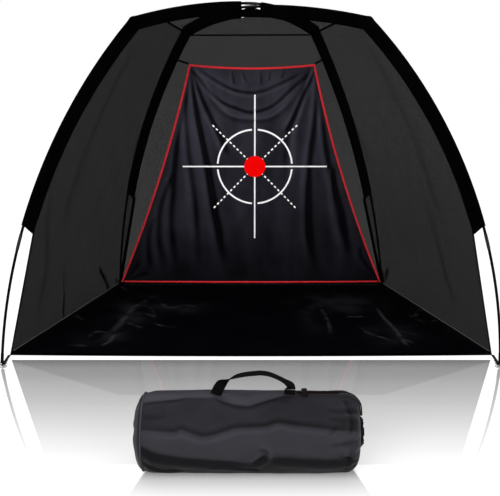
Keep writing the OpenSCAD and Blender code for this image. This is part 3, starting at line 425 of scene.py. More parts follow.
class Nodes:
    """The node tree of a material or of the world, and short ways to fill it."""

    def __init__(self, owner):
        owner.use_nodes = True
        self.owner, self.tree = owner, owner.node_tree

    def put(self, socket, value):
        value = value.socket if isinstance(value, Value) else value
        if isinstance(value, bpy.types.NodeSocket):
            self.tree.links.new(value, socket)
        elif socket.type == "RGBA":
            socket.default_value = (*value, 1)
        else:
            socket.default_value = value

    def node(self, kind, values=None, **settings):
        made = self.tree.nodes.new("ShaderNode" + kind)
        for key, value in settings.items():
            setattr(made, key, value)
        for key, value in (values or {}).items():
            self.put(made.inputs[key], value)
        return made.outputs

    def value(self, kind, values=None, output=0, **settings):
        return Value(self, self.node(kind, values, **settings)[output])

    def math(self, operation, *values):
        return self.value("Math", dict(enumerate(values)), operation=operation)

    def place(self):
        return self.value("TexCoord", output="Object")

    def attribute(self, name):
        return self.value("Attribute", output="Fac", attribute_name=name)

    def light_path(self, kind="Is Glossy Ray"):
        return self.value("LightPath", output=kind)

    def split(self, vector):
        parts = self.node("SeparateXYZ", {0: vector})
        return Value(self, parts[0]), Value(self, parts[1])

    def cloth_xy(self):
        return self.split(self.value("UVMap", uv_map="cloth"))

    def noise(self, scale, detail=3.0, vector=None):
        values = {"Scale": scale, "Detail": detail, "Vector": vector or self.place()}
        return self.value("TexNoise", values)

    def drawn_noise(self, across, along, detail=3.0):
        """Noise drawn out along z."""
        scales = {0: self.place(), 1: (across, across, along)}
        return self.noise(1.0, detail, self.value("VectorMath", scales, operation="MULTIPLY"))

    def ramp(self, value, low, high, out_low=0.0, out_high=1.0):
        return self.value("MapRange", {0: value, 1: low, 2: high, 3: out_low, 4: out_high})

    def blend(self, share, under, over, kind="MIX"):
        values = {0: share, 6: under, 7: over}
        return self.value("Mix", values, 2, data_type="RGBA", blend_type=kind)

    def dimmed(self, colour, share):
        grey = self.value("CombineColor", {0: share, 1: share, 2: share})
        return self.blend(1.0, colour, grey, "MULTIPLY")

    def wave(self, value, pitch):
        return self.math("SINE", value * (2 * math.pi / pitch))


class Material(Nodes):
    """A material with the principled shader."""

    def __init__(self, name, roughness=0.5, specular=0.5):
        super().__init__(bpy.data.materials.new(name))
        self.inputs = self.tree.nodes["Principled BSDF"].inputs
        self.put(self.inputs["Roughness"], roughness)
        self.put(self.inputs["Specular IOR Level"], specular)

    def paint(self, colour):
        self.put(self.inputs["Base Color"], colour)

    def dull(self, value, low, high, rough_low, rough_high):
        """Roughness that changes with a value."""
        self.put(self.inputs["Roughness"], self.ramp(value, low, high, rough_low, rough_high))

    def bump(self, height, strength, distance):
        values = {"Height": height, "Strength": strength, "Distance": distance}
        normal = self.inputs["Normal"]
        if normal.is_linked:
            values["Normal"] = normal.links[0].from_socket
        self.put(normal, self.value("Bump", values))

    def weave(self, pitch, strength, depth):
        """Over-and-under threads, of the given pitch in metres."""
        x, y = self.cloth_xy()
        threads = self.wave(x, pitch) * self.wave(y, pitch) * 0.5 + 0.5
        self.bump(threads, strength, depth)


def cloth_material(name, shades, roughness, pitch, specular, patch=9.0, painted_highlight=None):
    """Woven cloth. A highlight colour, if given, paints highlights and sheen where the piece
    stores them.
    """
    m = Material(name, specular=specular)
    large = m.noise(patch, 4.0)
    colour = m.blend(m.ramp(m.noise(700.0, 2.0) * 0.35 + large * 0.75, 0.35, 0.75), *shades)
    if painted_highlight:
        colour = m.blend(m.attribute("painted_light_and_shade"), colour, painted_highlight)
    m.paint(colour)
    m.dull(large, 0.3, 0.7, roughness - 0.06, roughness + 0.08)
    m.weave(pitch, 0.3, pitch * 0.35)
    m.bump(large, 0.25, 0.002)
    return m.owner


def webbing_material(name, shades, rib=0.0016, specular=0.15, mirrored=1.0):
    """Ribbed tape: ribs run across its length, with a herringbone along them.

    mirrored is the share of its colour that the floor's mirror image keeps."""
    m = Material(name, 0.7, specular)
    x, y = m.cloth_xy()
    slant = m.math("PINGPONG", x * 1.5, rib * 2)
    height = m.wave(y + slant, rib * 1.6) * 0.3 + m.wave(y, rib) * 0.35
    colour = m.blend(m.ramp(height * 0.4 + m.noise(60.0), 0.2, 0.9), *shades)
    if mirrored < 1:
        colour = m.blend(m.light_path() * (1 - mirrored), colour, (0.01, 0.01, 0.01))
    m.paint(colour)
    m.bump(height, 0.5, rib * 0.3)
    return m.owner


def net_material(name, open_share):
    """Knitted mesh in dark yarn, whose small holes let some of what is behind show through."""
    m = Material(name, 0.75, 0.02)
    x, y = m.cloth_xy()
    shift = m.wave(y, NET_PITCH * 2) * (NET_PITCH * 0.12)
    cell = m.wave(x + shift, NET_PITCH) * m.wave(y, NET_PITCH)
    yarn = m.drawn_noise(18.0, 160.0) * 0.5 + m.noise(6.0, 4.0) * 0.5
    m.paint(m.blend(m.ramp(yarn, 0.35, 0.65), (0.0010, 0.0010, 0.0011), (0.0022, 0.0022, 0.0023)))
    m.bump(cell, 0.6, NET_PITCH * 0.4)
    # Light that has come through a hole in one face leaves freely by the other face. The fold
    # number closes holes: in a pleat, partly because the mesh lies doubled there and partly as
    # painted shade, and towards a side wall's foot as painted shade.
    solid = 1.0 - (cell | 0.0) * (1.0 - m.attribute("fold")) * open_share
    within = m.value("NewGeometry", output="Backfacing")
    m.put(m.inputs["Alpha"], solid * (1.0 - within))
    return m.owner


# The printed aim, in metres: a red disc, a broken ring, a cross and dashed diagonals.
AIM_X, AIM_Z = 0.0188, 0.5039
DISC_R = 0.0530
RING_R, RING_W, RING_GAP = 0.1850, 0.0085, 0.0290
CROSS_HALF_LEN, LINE_W = 0.3590, 0.0072
DIAGONAL_FROM, DIAGONAL_TO = 0.0435, 0.296
DASH, DASH_SHARE = 0.0237, 0.52
PRINT_WHITE, PRINT_RED = (0.93, 0.93, 0.93), (0.90, 0.001, 0.001)


def target_material():
    m = Material("target_fabric", specular=0.02)
    x, z = m.cloth_xy()
    dx, dz = x - AIM_X, z - AIM_Z
    dz = dz * (dz * -0.09 + 0.97)
    ax, az = abs(dx), abs(dz)
    r = m.math("SQRT", dx * dx + dz * dz)
    ring = (abs(r - RING_R) < RING_W / 2) * (ax > RING_GAP / 2) * (az > RING_GAP / 2)
    level = (az < LINE_W / 2) * (ax < CROSS_HALF_LEN)
    plumb = (ax < LINE_W / 2) * (az < CROSS_HALF_LEN)
    along, aside = (ax + az) * math.sqrt(0.5), abs(ax - az) * math.sqrt(0.5)
    dashes = m.math("FRACT", (along - DIAGONAL_FROM) / DASH) < DASH_SHARE
    span = (along > DIAGONAL_FROM) * (along < DIAGONAL_TO)
    # The floor's mirror image leaves the print out, as in the photograph.
    direct = 1.0 - m.light_path()
    white = (ring | level | plumb | (aside < LINE_W / 2) * dashes * span) * direct
    disc = (r < DISC_R) * direct

    large = m.noise(7.0, 4.0)
    tone = m.ramp(m.noise(800.0, 2.0) * 0.3 + large * 0.8, 0.35, 0.75)
    cloth = m.blend(tone, (0.0175, 0.0163, 0.0225), (0.0262, 0.0250, 0.0337))
    # Painted shade and highlight: the cloth is dimmed towards its foot as painted shade, darkened
    # in its creases as painted shade and lightened on their lips as painted highlight.
    painted_light_and_shade = m.attribute("painted_light_and_shade")
    deep = m.ramp(painted_light_and_shade, 0.0, 0.5) * 0.82 + 0.18 + m.ramp(painted_light_and_shade, 0.5, 1.0, 0.0, 0.8)
    for share in (m.ramp(z, 0.25, 1.15, 1.0, 0.20), deep):
        cloth = m.dimmed(cloth, share)
    m.paint(m.blend(disc, m.blend(white, cloth, PRINT_WHITE), PRINT_RED))
    dullness = m.ramp(large, 0.3, 0.7, 0.44, 0.56)
    m.put(m.inputs["Roughness"], (white | disc) * 0.12 + dullness)
    m.weave(0.0011, 0.25, 0.0004)
    return m.owner


def bag_material():
    """Satin nylon whose colour follows the tone stored on the piece, its painted light and
    shade, with a little random tone.
    """
    m = Material("bag_fabric", specular=0.08)
    large = m.noise(9.0, 4.0)
    tone = (large - 0.5) * 0.10 + (m.noise(600.0, 2.0) - 0.5) * 0.06 + m.attribute("tone")
    m.paint(m.blend(m.ramp(tone, 0.0, 1.0), (0.0020, 0.0020, 0.0026), (0.056, 0.056, 0.068)))
    m.dull(large, 0.3, 0.7, 0.42, 0.58)
    m.weave(0.0010, 0.3, 0.00035)
    m.bump(m.noise(26.0, 5.0), 0.45, 0.004)
    return m.owner


def metal_material(name, colour, roughness):
    m = Material(name)
    m.put(m.inputs["Metallic"], 1.0)
    scratch = m.drawn_noise(900.0, 60.0, 4.0)
    m.paint(m.blend(m.ramp(m.noise(90.0), 0.35, 0.7), tuple(c * 0.72 for c in colour), colour))
    m.dull(scratch, 0.3, 0.7, roughness - 0.08, roughness + 0.14)
    m.bump(scratch, 0.1, 0.0002)
    return m.owner


def pole_material():
    m = Material("fibreglass", specular=0.02)
    fibre = m.drawn_noise(1400.0, 22.0)
    m.paint(m.blend(m.ramp(fibre, 0.3, 0.75), (0.0008, 0.0008, 0.0010), (0.0030, 0.0030, 0.0034)))
    m.dull(m.noise(40.0), 0.3, 0.7, 0.26, 0.42)
    m.bump(fibre, 0.12, 0.0002)
    return m.owner


def plastic_material(name, shades, roughness):
    m = Material(name, specular=0.12)
    m.paint(m.blend(m.ramp(m.noise(50.0), 0.3, 0.7), *shades))
    m.dull(m.noise(120.0), 0.3, 0.7, roughness - 0.06, roughness + 0.1)
    m.bump(m.noise(1800.0, 2.0), 0.15, 0.0002)
    return m.owner


def cord_material(name, shades):
    """Braided cord: two sets of strands that cross on the slant."""
    m = Material(name, 0.75, 0.08)
    x, y = m.cloth_xy()
    braid = m.wave(x + y, BRAID_PITCH) | m.wave(x - y, BRAID_PITCH)
    m.paint(m.blend(m.ramp(braid, -0.5, 1.0), *shades))
    m.bump(braid, 0.6, 0.0005)
    return m.owner


BLACK = ((0.0004, 0.0004, 0.0005), (0.0012, 0.0012, 0.0014))
SLEEVE = cloth_material("sleeve_fabric", BLACK, 0.85, 0.0012, 0.0)
# Painted light: one mesh in three copies, more open where it reads lighter: the left wall in
# painted shade, the right wall painted lighter, and the roof and back wall painted lightest.
SHADED_LEFT_NET = net_material("side_mesh_left_shaded", 0.096)
LIT_RIGHT_NET = net_material("side_mesh_right_lit", 0.132)
LIT_ROOF_AND_BACK_NET = net_material("roof_and_back_mesh_lit", 0.155)
SELVAGE = webbing_material("net_selvage", ((0.090, 0.090, 0.090), (0.150, 0.150, 0.150)), 0.0030)
TAPE = webbing_material("seam_tape_fabric", BLACK, specular=0.0)
# The ground cloth's highlight colour is painted light on its folds and in patches of sheen.
GROUND = cloth_material("ground_fabric", ((0.0004, 0.0004, 0.0007), (0.0016, 0.0016, 0.0026)),
                        0.6, 0.0014, patch=5.0, specular=0.02, painted_highlight=(0.0230, 0.0236, 0.0270))
TARGET = target_material()
BINDING = webbing_material("binding_fabric", ((0.50, 0.016, 0.022), (0.70, 0.040, 0.048)),
                           specular=0.05, mirrored=0.35)
BAG = bag_material()
# The piping is painted lighter than the bag, as a painted highlight along the end seam.
PIPING_PAINTED_LIGHTER = cloth_material("piping_fabric_painted_highlight", ((0.020, 0.020, 0.024), (0.045, 0.045, 0.052)),
                          0.6, 0.0010, specular=0.1)
FRILL = cloth_material("frill_fabric", ((0.0008, 0.0008, 0.0010), (0.0060, 0.0060, 0.0070)),
                       0.7, 0.0010, specular=0.05)
WEBBING = webbing_material("webbing_fabric", ((0.0008, 0.0008, 0.0010), (0.0030, 0.0030, 0.0034)),
                           specular=0.06)
CORD = cord_material("drawstring_braid", ((0.0030, 0.0012, 0.0010), (0.0110, 0.0045, 0.0032)))
LOCK = plastic_material("lock_moulding", ((0.0040, 0.0016, 0.0012), (0.0090, 0.0038, 0.0028)), 0.5)
POLE = pole_material()
FERRULE = metal_material("ferrule_steel", (0.035, 0.035, 0.037), 0.42)
CAP = metal_material("cap_steel", (0.008, 0.008, 0.009), 0.4)
RING = metal_material("ring_steel_wire", (0.045, 0.045, 0.048), 0.3)
ELASTIC = cord_material("elastic_braid", ((0.35, 0.35, 0.34), (0.62, 0.62, 0.60)))

# ---- Rigid CAD nodes keep their shape and get their finish ---------------------------
FINISHES = {
    "pole_front_tube": POLE, "pole_roof_tube": POLE, "pole_rear_tube": POLE,
    "shock_cord": ELASTIC, "pole_ferrules": FERRULE, "elbows": FERRULE, "pole_end_caps": CAP,
    "corner_pins": RING, "corner_rings": RING, "cord_lock": LOCK,
}
for node_name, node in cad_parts.items():
    for part, finish in FINISHES.items():
        if part in node_name:
            node.data.materials.clear()
            node.data.materials.append(finish)


# ---- Sleeves ----------------------------------------------------------------------
def sleeve_section(r, reach, t):
    """Outline of a sleeve round its pole: an arc that runs on into two flat flanks."""
    n = 12
    b = math.asin(r / math.hypot(reach, t)) - math.atan2(t, reach)
    a = np.linspace(-math.pi / 2 - b, math.pi / 2 + b, 2 * n + 1)
    arc = np.stack([r * np.cos(a), r * np.sin(a)], 1)
    upper = mix(arc[-1], np.array([[-reach, t]]), np.linspace(0, 1, n)[1:, None])
    return np.concatenate([arc, upper, upper[::-1] * [1, -1]])


def sleeve_path(k, h):
    """Points of the pole's axis under a sleeve, the outward direction at each, and a share
    that goes from 0 to 1 round the elbow."""
    roof, elbow, leg = pole_arcs(k, h)
    first = math.asin(SLEEVE_START / roof[2])
    last = leg_angle(leg, SLEEVE_END_H[h])
    points, angles, corner = [], [], []
    stations = ((roof, first, roof[4], 70), (elbow, *elbow[3:], 16), (leg, leg[3], last, 120))
    for q, a0, a1, n in stations:
        a = np.linspace(a0, a1, n)[: None if q is leg else -1]
        points.append(arc_at(q, a))
        angles.append(a)
        corner.append((a - a0) / (a1 - a0) if q is elbow else np.full(len(a), float(q is leg)))
    a = np.concatenate(angles)
    return np.concatenate(points), np.stack([np.sin(a), np.cos(a)], 1), np.concatenate(corner)


def sleeve(name, k, h, seed):
    points, outs, corner = sleeve_path(k, h)
    along = run_along(points)
    head = np.stack([outs[:, 1], -outs[:, 0]], 1)
    outer = sleeve_section(CHANNEL_R + SLEEVE_T, SLEEVE_W + 0.0022, SLEEVE_T)
    inner = sleeve_section(CHANNEL_R, SLEEVE_W - 0.010, 0.0003)
    skins = []
    for shape in (outer, inner):
        inward = np.clip(-shape[:, 0] / SLEEVE_W, 0, 1)
        x, y = (np.broadcast_to(c, (len(points), len(shape))).copy() for c in shape.T)
        if shape is outer:
            at = stacked(along[:, None], shape[:, 1] * 20, shape[:, 0] * 6)
            pucker = noise_on(at, 26.0, seed) * 0.0016 + noise_on(at, 9.0, seed + 5) * 0.0018
            y += np.sign(y + 1e-9) * np.abs(pucker) * np.sin(np.pi * inward) * 1.2
            x += noise_on(at, 16.0, seed + 9) * 0.0010 * inward
            y *= 1 - 0.30 * bell(shape[:, 0] + SLEEVE_W - 0.009, 0.0016)
            mitre = bell(corner - 0.5, 0.35) * (corner > 0) * (corner < 1)
            x += mitre[:, None] * 0.0035 * (1 - inward) * (np.abs(shape[:, 1]) < CHANNEL_R * 0.8)
        slant = smooth(along, along[-1] - 0.045, along[-1])[:, None] * inward * 0.024
        p = points[:, None] + outs[:, None] * x[..., None] + head[:, None] * slant[..., None]
        skins.append(in_space(k, h, p, y))
    n, m = skins[0].shape[:2]
    c = n * m
    faces = []
    for j in range(m):
        step = (j + 1) % m - j
        for a in range(j, c - m, m):
            b = a + step
            faces += [(a, b, b + m, a + m), (c + a, c + a + m, c + b + m, c + b)]
        a, z = j, c - m + j
        faces += [(a, a + c, a + step + c, a + step), (z, z + step, z + step + c, z + c)]
    uv = stacked(run_along(outer), along[:, None])
    obj = new_mesh(name + "_cloth", np.concatenate(skins), faces, SLEEVE, np.concatenate([uv, uv]))
    return place(obj, "net", "sleeve_cloth", name)


SLEEVES = (("left_front_sleeve", LEFT, FRONT), ("right_front_sleeve", RIGHT, FRONT),
           ("left_rear_sleeve", RIGHT, REAR), ("right_rear_sleeve", LEFT, REAR))
for number, (sleeve_name, pole, end) in enumerate(SLEEVES):
    sleeve(sleeve_name, pole, end, 3.0 + 7 * number)


# ---- Nets -------------------------------------------------------------------------
FRONT_BASE, SIDE_BASE, BACK_BASE = (0.005, 0.003), (0.005, 0.009), (0.0065, 0.0055)
ROOF_DIP = 0.006
WALL_COLS, BACK_COLS, ROOF_COLS = 73, 97, 31
LEG_POINTS, DROP_POINTS = 61, 47
SEAM_MARGIN = 0.003


def edge_line(k, h, stations, n=0.0, inset=FRONT_BASE):
    """The line where a wall meets a sleeve and then runs down to the ground sheet.

    stations holds (arc, first angle, last angle, count). After them come the leg down to
    the sleeve's end and the straight run to the sheet."""
    leg = pole_arcs(k, h)[2]
    low = leg_angle(leg, SLEEVE_END_H[h])
    angles = [(q, np.linspace(a0, a1, count)[:-1]) for q, a0, a1, count in stations]
    angles.append((leg, np.linspace(leg[3], low, LEG_POINTS)))
    parts = [in_space(k, h, arc_at(q, a, -EDGE), n) for q, a in angles]
    last, base = parts[-1][-1], base_point(k, h, inset)
    parts.append(mix(last, base, np.linspace(0, 1, DROP_POINTS)[1:, None]))
    return np.concatenate(parts)


def wall_edges(k):
    """Front and rear edges of a side wall, with as many points each."""
    roof, elbow, _ = pole_arcs(k, FRONT)
    seam = math.asin((SIDE_SEAM_RUN + SEAM_MARGIN) / roof[2])
    front = edge_line(k, FRONT, [(roof, seam, roof[4], 13), (elbow, *elbow[3:], 7)])
    o = 1 - k
    elbow = pole_arcs(o, REAR)[1]
    first, knee = elbow[3] + math.radians(4), elbow[3] + math.radians(18)
    stations = [(elbow, first, knee, 13), (elbow, knee, elbow[4], 7)]
    return front, edge_line(o, REAR, stations, side_of(o) * SPLIT, SIDE_BASE)


def back_edges():
    edges = []
    for k in (RIGHT, LEFT):
        elbow = pole_arcs(k, REAR)[1]
        stations = [(elbow, elbow[3] + math.radians(6), elbow[4], 15)]
        edges.append(edge_line(k, REAR, stations, -side_of(k) * SPLIT, BACK_BASE))
    return edges


# Pleats in the left and in the right wall, as curves of (share across from front to rear,
# share down), and how wide and deep each is in metres.
WALL_PLEATS = (
    ((((.69, .866), (.79, .933), (.885, 1.005)), .009, .006),
     (((.925, .96), (.955, .98), (.985, 1)), .006, .005),
     (((.37, .895), (.393, .95), (.42, 1.005)), .007, .006),
     (((.3, .8), (.34, .86), (.36, .905)), .009, .002),
     (((.52, .95), (.5, .975), (.48, .995)), .006, .003),
     (((.12, .16), (.2, .4), (.22, .7)), .03, .0012),
     (((.96, .1), (.86, .3), (.8, .55)), .026, .0012),
     (((.04, .55), (.14, .75), (.16, .95)), .022, .0012)),
    ((((.945, .925), (.965, .96), (.99, .998)), .008, .006),
     (((.865, .905), (.92, .945), (.98, .992)), .009, .006),
     (((.12, .16), (.2, .4), (.22, .7)), .03, .0012),
     (((.96, .1), (.86, .3), (.8, .55)), .026, .0012),
     (((.3, .55), (.26, .75), (.22, .92)), .024, .0012)),
)

# Painted shade: how much more closed the mesh of each side wall is made at its foot.
NET_FOOT_SHADE = (0.22, 0.34)


def wall_net(name, k, seed):
    """A side wall's net, which bows in. Returns its grid of points."""
    front, rear = (edge[::2] for edge in wall_edges(k))
    v, s = np.linspace(0, 1, WALL_COLS), np.linspace(0, 1, len(front))
    p = between(front, rear, v)
    p[..., 0] -= side_of(k) * (SIDE_SLACK * 4 * v * (1 - v) * np.sin(np.pi * s)[:, None])
    flat = flat_of(p)
    inside = np.clip(clear_of_edges(s, v, 16, 4), 0, 1)
    ripple = noise_on(p, 5.0, seed) * 0.006 + noise_on(p, 14.0, seed + 3) * 0.0022
    here = stacked(v, s[:, None])
    pleats = sum(crease(here, curve, width * 1.1, depth, 0.6)
                 for curve, width, depth in WALL_PLEATS[k])
    # Painted shade: the fold number closes the mesh more towards the wall's foot. In the pleats it
    # stands partly for the doubled mesh and partly for painted shade.
    foot = 1 - smooth(p[..., 2], 0.25, 1.15)
    fold = np.clip(-pleats / 0.005, 0, 0.85) + NET_FOOT_SHADE[k] * foot
    p = p + grid_normals(p) * ((ripple + pleats) * inside)[..., None]
    if k == RIGHT:
        p, flat, fold = p[:, ::-1], flat[:, ::-1], fold[:, ::-1]
    obj = closed_sheet(name + "_mesh", p, MESH_T, (SHADED_LEFT_NET, LIT_RIGHT_NET)[k], flat)
    shade(obj, "fold", fold)
    place(obj, "net", "mesh_net", name)
    hang(obj, p, rests_on=[name.replace("wall_net", "front_sleeve_cloth")])
    return p


def back_wall_net():
    left, right = (edge[::2] for edge in back_edges())
    v, s = np.linspace(0, 1, BACK_COLS), np.linspace(0, 1, len(left))
    p = between(left, right, v)
    flat = flat_of(p)
    inside = np.clip(clear_of_edges(s, v, 16, 4), 0, 1)
    fine = np.abs(noise_on(p * [1, 1, 0.25], 14.0, 37.0)) * 0.002
    p = p - grid_normals(p) * (np.abs(noise_on(p, 4.0, 31.0) * 0.004 + fine) * inside)[..., None]
    obj = closed_sheet("back_wall_mesh", p, MESH_T, LIT_ROOF_AND_BACK_NET, flat)
    place(obj, "net", "mesh_net", "back_wall_net")
    hang(obj, p)
    return p


def roof_edge(k, h, last, n=0.0):
    roof = pole_arcs(k, h)[0]
    runs = np.linspace(SLEEVE_START + 0.002, last, 41)
    return in_space(k, h, arc_at(roof, np.arcsin(runs / roof[2]), -EDGE), n)


def roof_net(name, a, b, flip, seed):
    v, s = np.linspace(0, 1, ROOF_COLS), np.linspace(0, 1, len(a))
    p = between(a, b, v)
    flat = flat_of(p)
    inside = clear_of_edges(s, v, 4, 5)
    rough = np.abs(noise_on(p, 16.0, seed)) * 0.004 * np.clip(inside * 2, 0, 1)
    p[..., 2] -= ROOF_DIP * inside + rough
    if flip:
        p, flat = p[:, ::-1], flat[:, ::-1]
    obj = closed_sheet(name + "_mesh", p, MESH_T, LIT_ROOF_AND_BACK_NET, flat)
    place(obj, "net", "mesh_net", name)
    hang(obj, p)


def wall_front(p):
    """The front edge of a side wall, its direction inwards, and its normals."""
    column, inward = (0, 2) if p[0, 0, 1] < p[0, -1, 1] else (-1, -3)
    return p[:, column], unit(p[:, inward] - p[:, column]), grid_normals(p)[:, column]


# The tape and the selvage start this many points below the upper end of the edge.
EDGE_SKIP, SELVAGE_END = 3, 39
SELVAGE_IN, SELVAGE_UP, SELVAGE_OFF = 0.0116, 0.0125, 0.0021


def selvage(name, p):
    """The lighter woven edge of a side wall, along its sleeve and along its foot."""
    front, d, out = wall_front(p)
    upright = (front + d * SELVAGE_IN - out * (NET_T / 2 + 0.0007))[EDGE_SKIP:SELVAGE_END]
    foot = p[-1] + unit(p[-2] - p[-1]) * SELVAGE_UP + grid_normals(p)[-1] * SELVAGE_OFF
    lines = [tube(name + "_upright", upright, 0.0013, SELVAGE, 8, (0.02, 1, 0.01)),
             tube(name + "_foot", foot[1:-1], 0.0015, SELVAGE, 8, (0, 0, 1))]
    place(joined(name, lines), "net", "mesh_net")


left_wall = wall_net("left_wall_net", LEFT, 11.0)
right_wall = wall_net("right_wall_net", RIGHT, 23.0)
back_wall = back_wall_net()
selvage("left_wall_selvage", left_wall)
selvage("right_wall_selvage", right_wall)
REAR_RUN = SHOULDER_RUN[REAR] - SEAM_MARGIN
for k, roof_name in ((LEFT, "left_roof_net"), (RIGHT, "right_roof_net")):
    roof_net(roof_name, roof_edge(k, FRONT, SIDE_SEAM_RUN - SEAM_MARGIN),
             roof_edge(1 - k, REAR, REAR_RUN, -side_of(k) * SPLIT), k == RIGHT, 41.0 + k)
roof_net("back_roof_net", roof_edge(RIGHT, REAR, REAR_RUN, -SPLIT),
         roof_edge(LEFT, REAR, REAR_RUN, SPLIT), False, 47.0)

# ---- Tapes on the nets ------------------------------------------------------------
TAPE_OFF = NET_T / 2 + SEAM_GAP + TAPE_T / 2
TAPE_CLEAR = 0.0002
EDGE_OVER, EDGE_TAPE_IN = 0.0008, 0.0100
FOOT_TAPE = (0.0106, 0.0056, 0.0006)


def edge_tape(name, k, p):
    """Tape along the free front edge of a side wall, on its face to the hitting bay."""
    front, d, _ = wall_front(p)
    lines = [(front + d * at)[EDGE_SKIP:] for at in (-EDGE_OVER, EDGE_TAPE_IN)]
    strip = between(*(lines if k == LEFT else lines[::-1]), np.linspace(0, 1, 3))
    obj = closed_sheet(name + "_cloth", strip, TAPE_T, TAPE, offset=-TAPE_OFF - TAPE_CLEAR)
    place(obj, "net", "seam_tape", name)


def base_tape(number, p):
    """Tape along the foot of a wall."""
    up = unit(p[-2] - p[-1])
    strip = np.stack([p[-1] + up * at for at in FOOT_TAPE])
    strip = strip + grid_normals(p)[-1] * (TAPE_OFF + TAPE_CLEAR)
    return closed_sheet("foot_tape_%d" % number, strip, TAPE_T, TAPE)


def seam_tape(name, p, q, out, lift):
    """Tape over the seam from p to q, which faces out."""
    s = np.linspace(0.004, 0.996, 40)
    along = unit(q - p)
    across = unit(np.cross(along, out))
    rise = unit(np.cross(across, along))
    line = mix(p, q, s[:, None]) + rise * (lift + 0.0006 * np.sin(s * 37)[:, None])
    strip = np.stack([line + across * TAPE_W * at for at in (-0.5, 0, 0.5)], 1)
    return closed_sheet(name, strip, TAPE_T, TAPE)


def corner_tape(k):
    """A tape folded round a rear corner, from the side wall to the back wall."""
    wall = left_wall if k == LEFT else right_wall[:, ::-1]
    back = back_wall if k == LEFT else back_wall[:, ::-1]
    rows = (DROP_POINTS - 1) // 2
    at = np.linspace(0.03, 0.97, 24) * rows
    i = np.minimum(at.astype(int), rows - 1)

    def below(line):
        """Points of a wall's edge from the end of the sleeve down to the sheet."""
        part = line[-rows - 1:]
        return mix(part[i], part[i + 1], (at - i)[:, None])

    a, b = below(wall[:, -1]), below(back[:, 0])
    ds, db = unit(below(wall[:, -5]) - a), unit(below(back[:, 4]) - b)
    dot = (ds * db).sum(1)[:, None]
    ns, nb = unit(ds * dot - db), unit(db * dot - ds)
    off = TAPE_OFF + SEAM_GAP
    strip = [a + ds * 0.008 + ns * off, a + ds * 0.002 + ns * off,
             (a + b) / 2 + unit(ns + nb) * 1.6 * off,
             b + db * 0.002 + nb * off, b + db * 0.008 + nb * off]
    strip = np.stack(strip if k == LEFT else strip[::-1], 1)
    return closed_sheet("corner_tape_%d" % k, strip, TAPE_T, TAPE)


def place_joined(name, pieces, body, slot):
    """Joins pieces that stand for one node of the CAD."""
    return place(joined(name + "_cloth", pieces), body, slot, name)


edge_tape("left_front_edge_tape", LEFT, left_wall)
edge_tape("right_front_edge_tape", RIGHT, right_wall)
base_tapes = [base_tape(i, p) for i, p in enumerate((left_wall, right_wall, back_wall))]
place_joined("net_bottom_tapes", base_tapes, "net", "seam_tape")
SIDE_LIFT, BACK_LIFT = TAPE_OFF + 0.0012, TAPE_OFF + 0.0004
seams = (("left", wall_edges(LEFT), (-1.0, 0, 1.6), SIDE_LIFT),
         ("right", wall_edges(RIGHT), (1.0, 0, 1.6), SIDE_LIFT),
         ("back", back_edges(), (0, 1.0, 1.2), BACK_LIFT))
roof_tapes = [seam_tape("roof_tape_" + side, edges[0][0], edges[1][0], out, lift)
              for side, edges, out, lift in seams]
place_joined("roof_seam_tapes", roof_tapes, "net", "seam_tape")
place_joined("rear_corner_tapes", [corner_tape(LEFT), corner_tape(RIGHT)], "net", "seam_tape")


# ---- Ground sheet -----------------------------------------------------------------
# Low folds in the ground sheet, in metres on the ground.
GROUND_FOLDS = (
    (((.606, .15), (.623, -.055), (.647, -.192), (.656, -.335), (.674, -.467)), .008, .006),
    (((.49, -.159), (.514, -.241), (.552, -.289), (.6, -.335), (.636, -.38)), .0075, .0042),
    (((.653, -.32), (.68, -.35), (.705, -.38)), .007, .0055),
    (((.83, -.096), (.862, -.082), (.894, -.069)), .007, .0045),
    (((.87, -.249), (.893, -.222), (.916, -.2)), .007, .0045),
    (((.653, -.225), (.705, -.249), (.747, -.296)), .0075, .0036),
    (((.77, -.037), (.796, .03), (.82, .092)), .009, .0036),
    (((.753, -.001), (.766, -.055), (.811, -.125)), .009, .0034),
    (((.339, .19), (.345, .036), (.356, -.108), (.353, -.32)), .008, .0036),
    (((.44, -.03), (.504, -.034), (.535, -.027)), .008, .0038),
    (((-.625, -.268), (-.607, -.17), (-.59, -.049), (-.563, .098), (-.508, .258), (-.465, .279)),
      .016, .0048),
    (((-.459, -.102), (-.412, -.153), (-.328, -.179)), .0065, .0055),
    (((-.713, -.307), (-.687, -.236), (-.627, -.252)), .01, .004),
    (((-.649, -.412), (-.614, -.361), (-.6, -.284), (-.554, -.252)), .0075, .0052),
    (((-.471, .217), (-.396, .098), (-.324, .137), (-.254, .118)), .01, .0042),
    (((-.704, .476), (-.66, .4), (-.624, .3)), .009, .0032),
    (((-.553, .023), (-.496, .005), (-.447, -.049)), .009, .0042),
    (((-.582, -.102), (-.514, -.17), (-.489, -.187)), .008, .0045),
    (((-.558, .197), (-.47, .042), (-.453, -.049)), .011, .0038),
    (((-.857, .023), (-.8, -.05), (-.759, -.102)), .008, .0028),
    (((-.789, -.39), (-.74, -.398), (-.688, -.405)), .01, .0028),
)
# Wide faint patches of painted sheen between them: (x, y, half width, half depth, share of
# the full painted highlight).
GROUND_SHEEN_PATCHES = ((.46, .16, .17, .13, .3), (-.56, .05, .09, .18, .36), (-.62, -.3, .11, .08, .3),
                 (-.34, .1, .11, .08, .24), (.62, -.25, .12, .12, .2), (.3, .02, .06, .22, .14))


def ground_grid(cols, rows):
    u = np.linspace(-1, 1, cols + 1)
    v = np.linspace(0, 1, rows + 1)[:, None]
    y = SHEET_DEPTH / 2 - v * SHEET_DEPTH - SHEET_BOW * (1 - u**2) * v**3
    half = (SHEET_REAR + (SHEET_FRONT - SHEET_REAR) * v) / 2
    return stacked(half * u, y, 0.0 * y), u, v


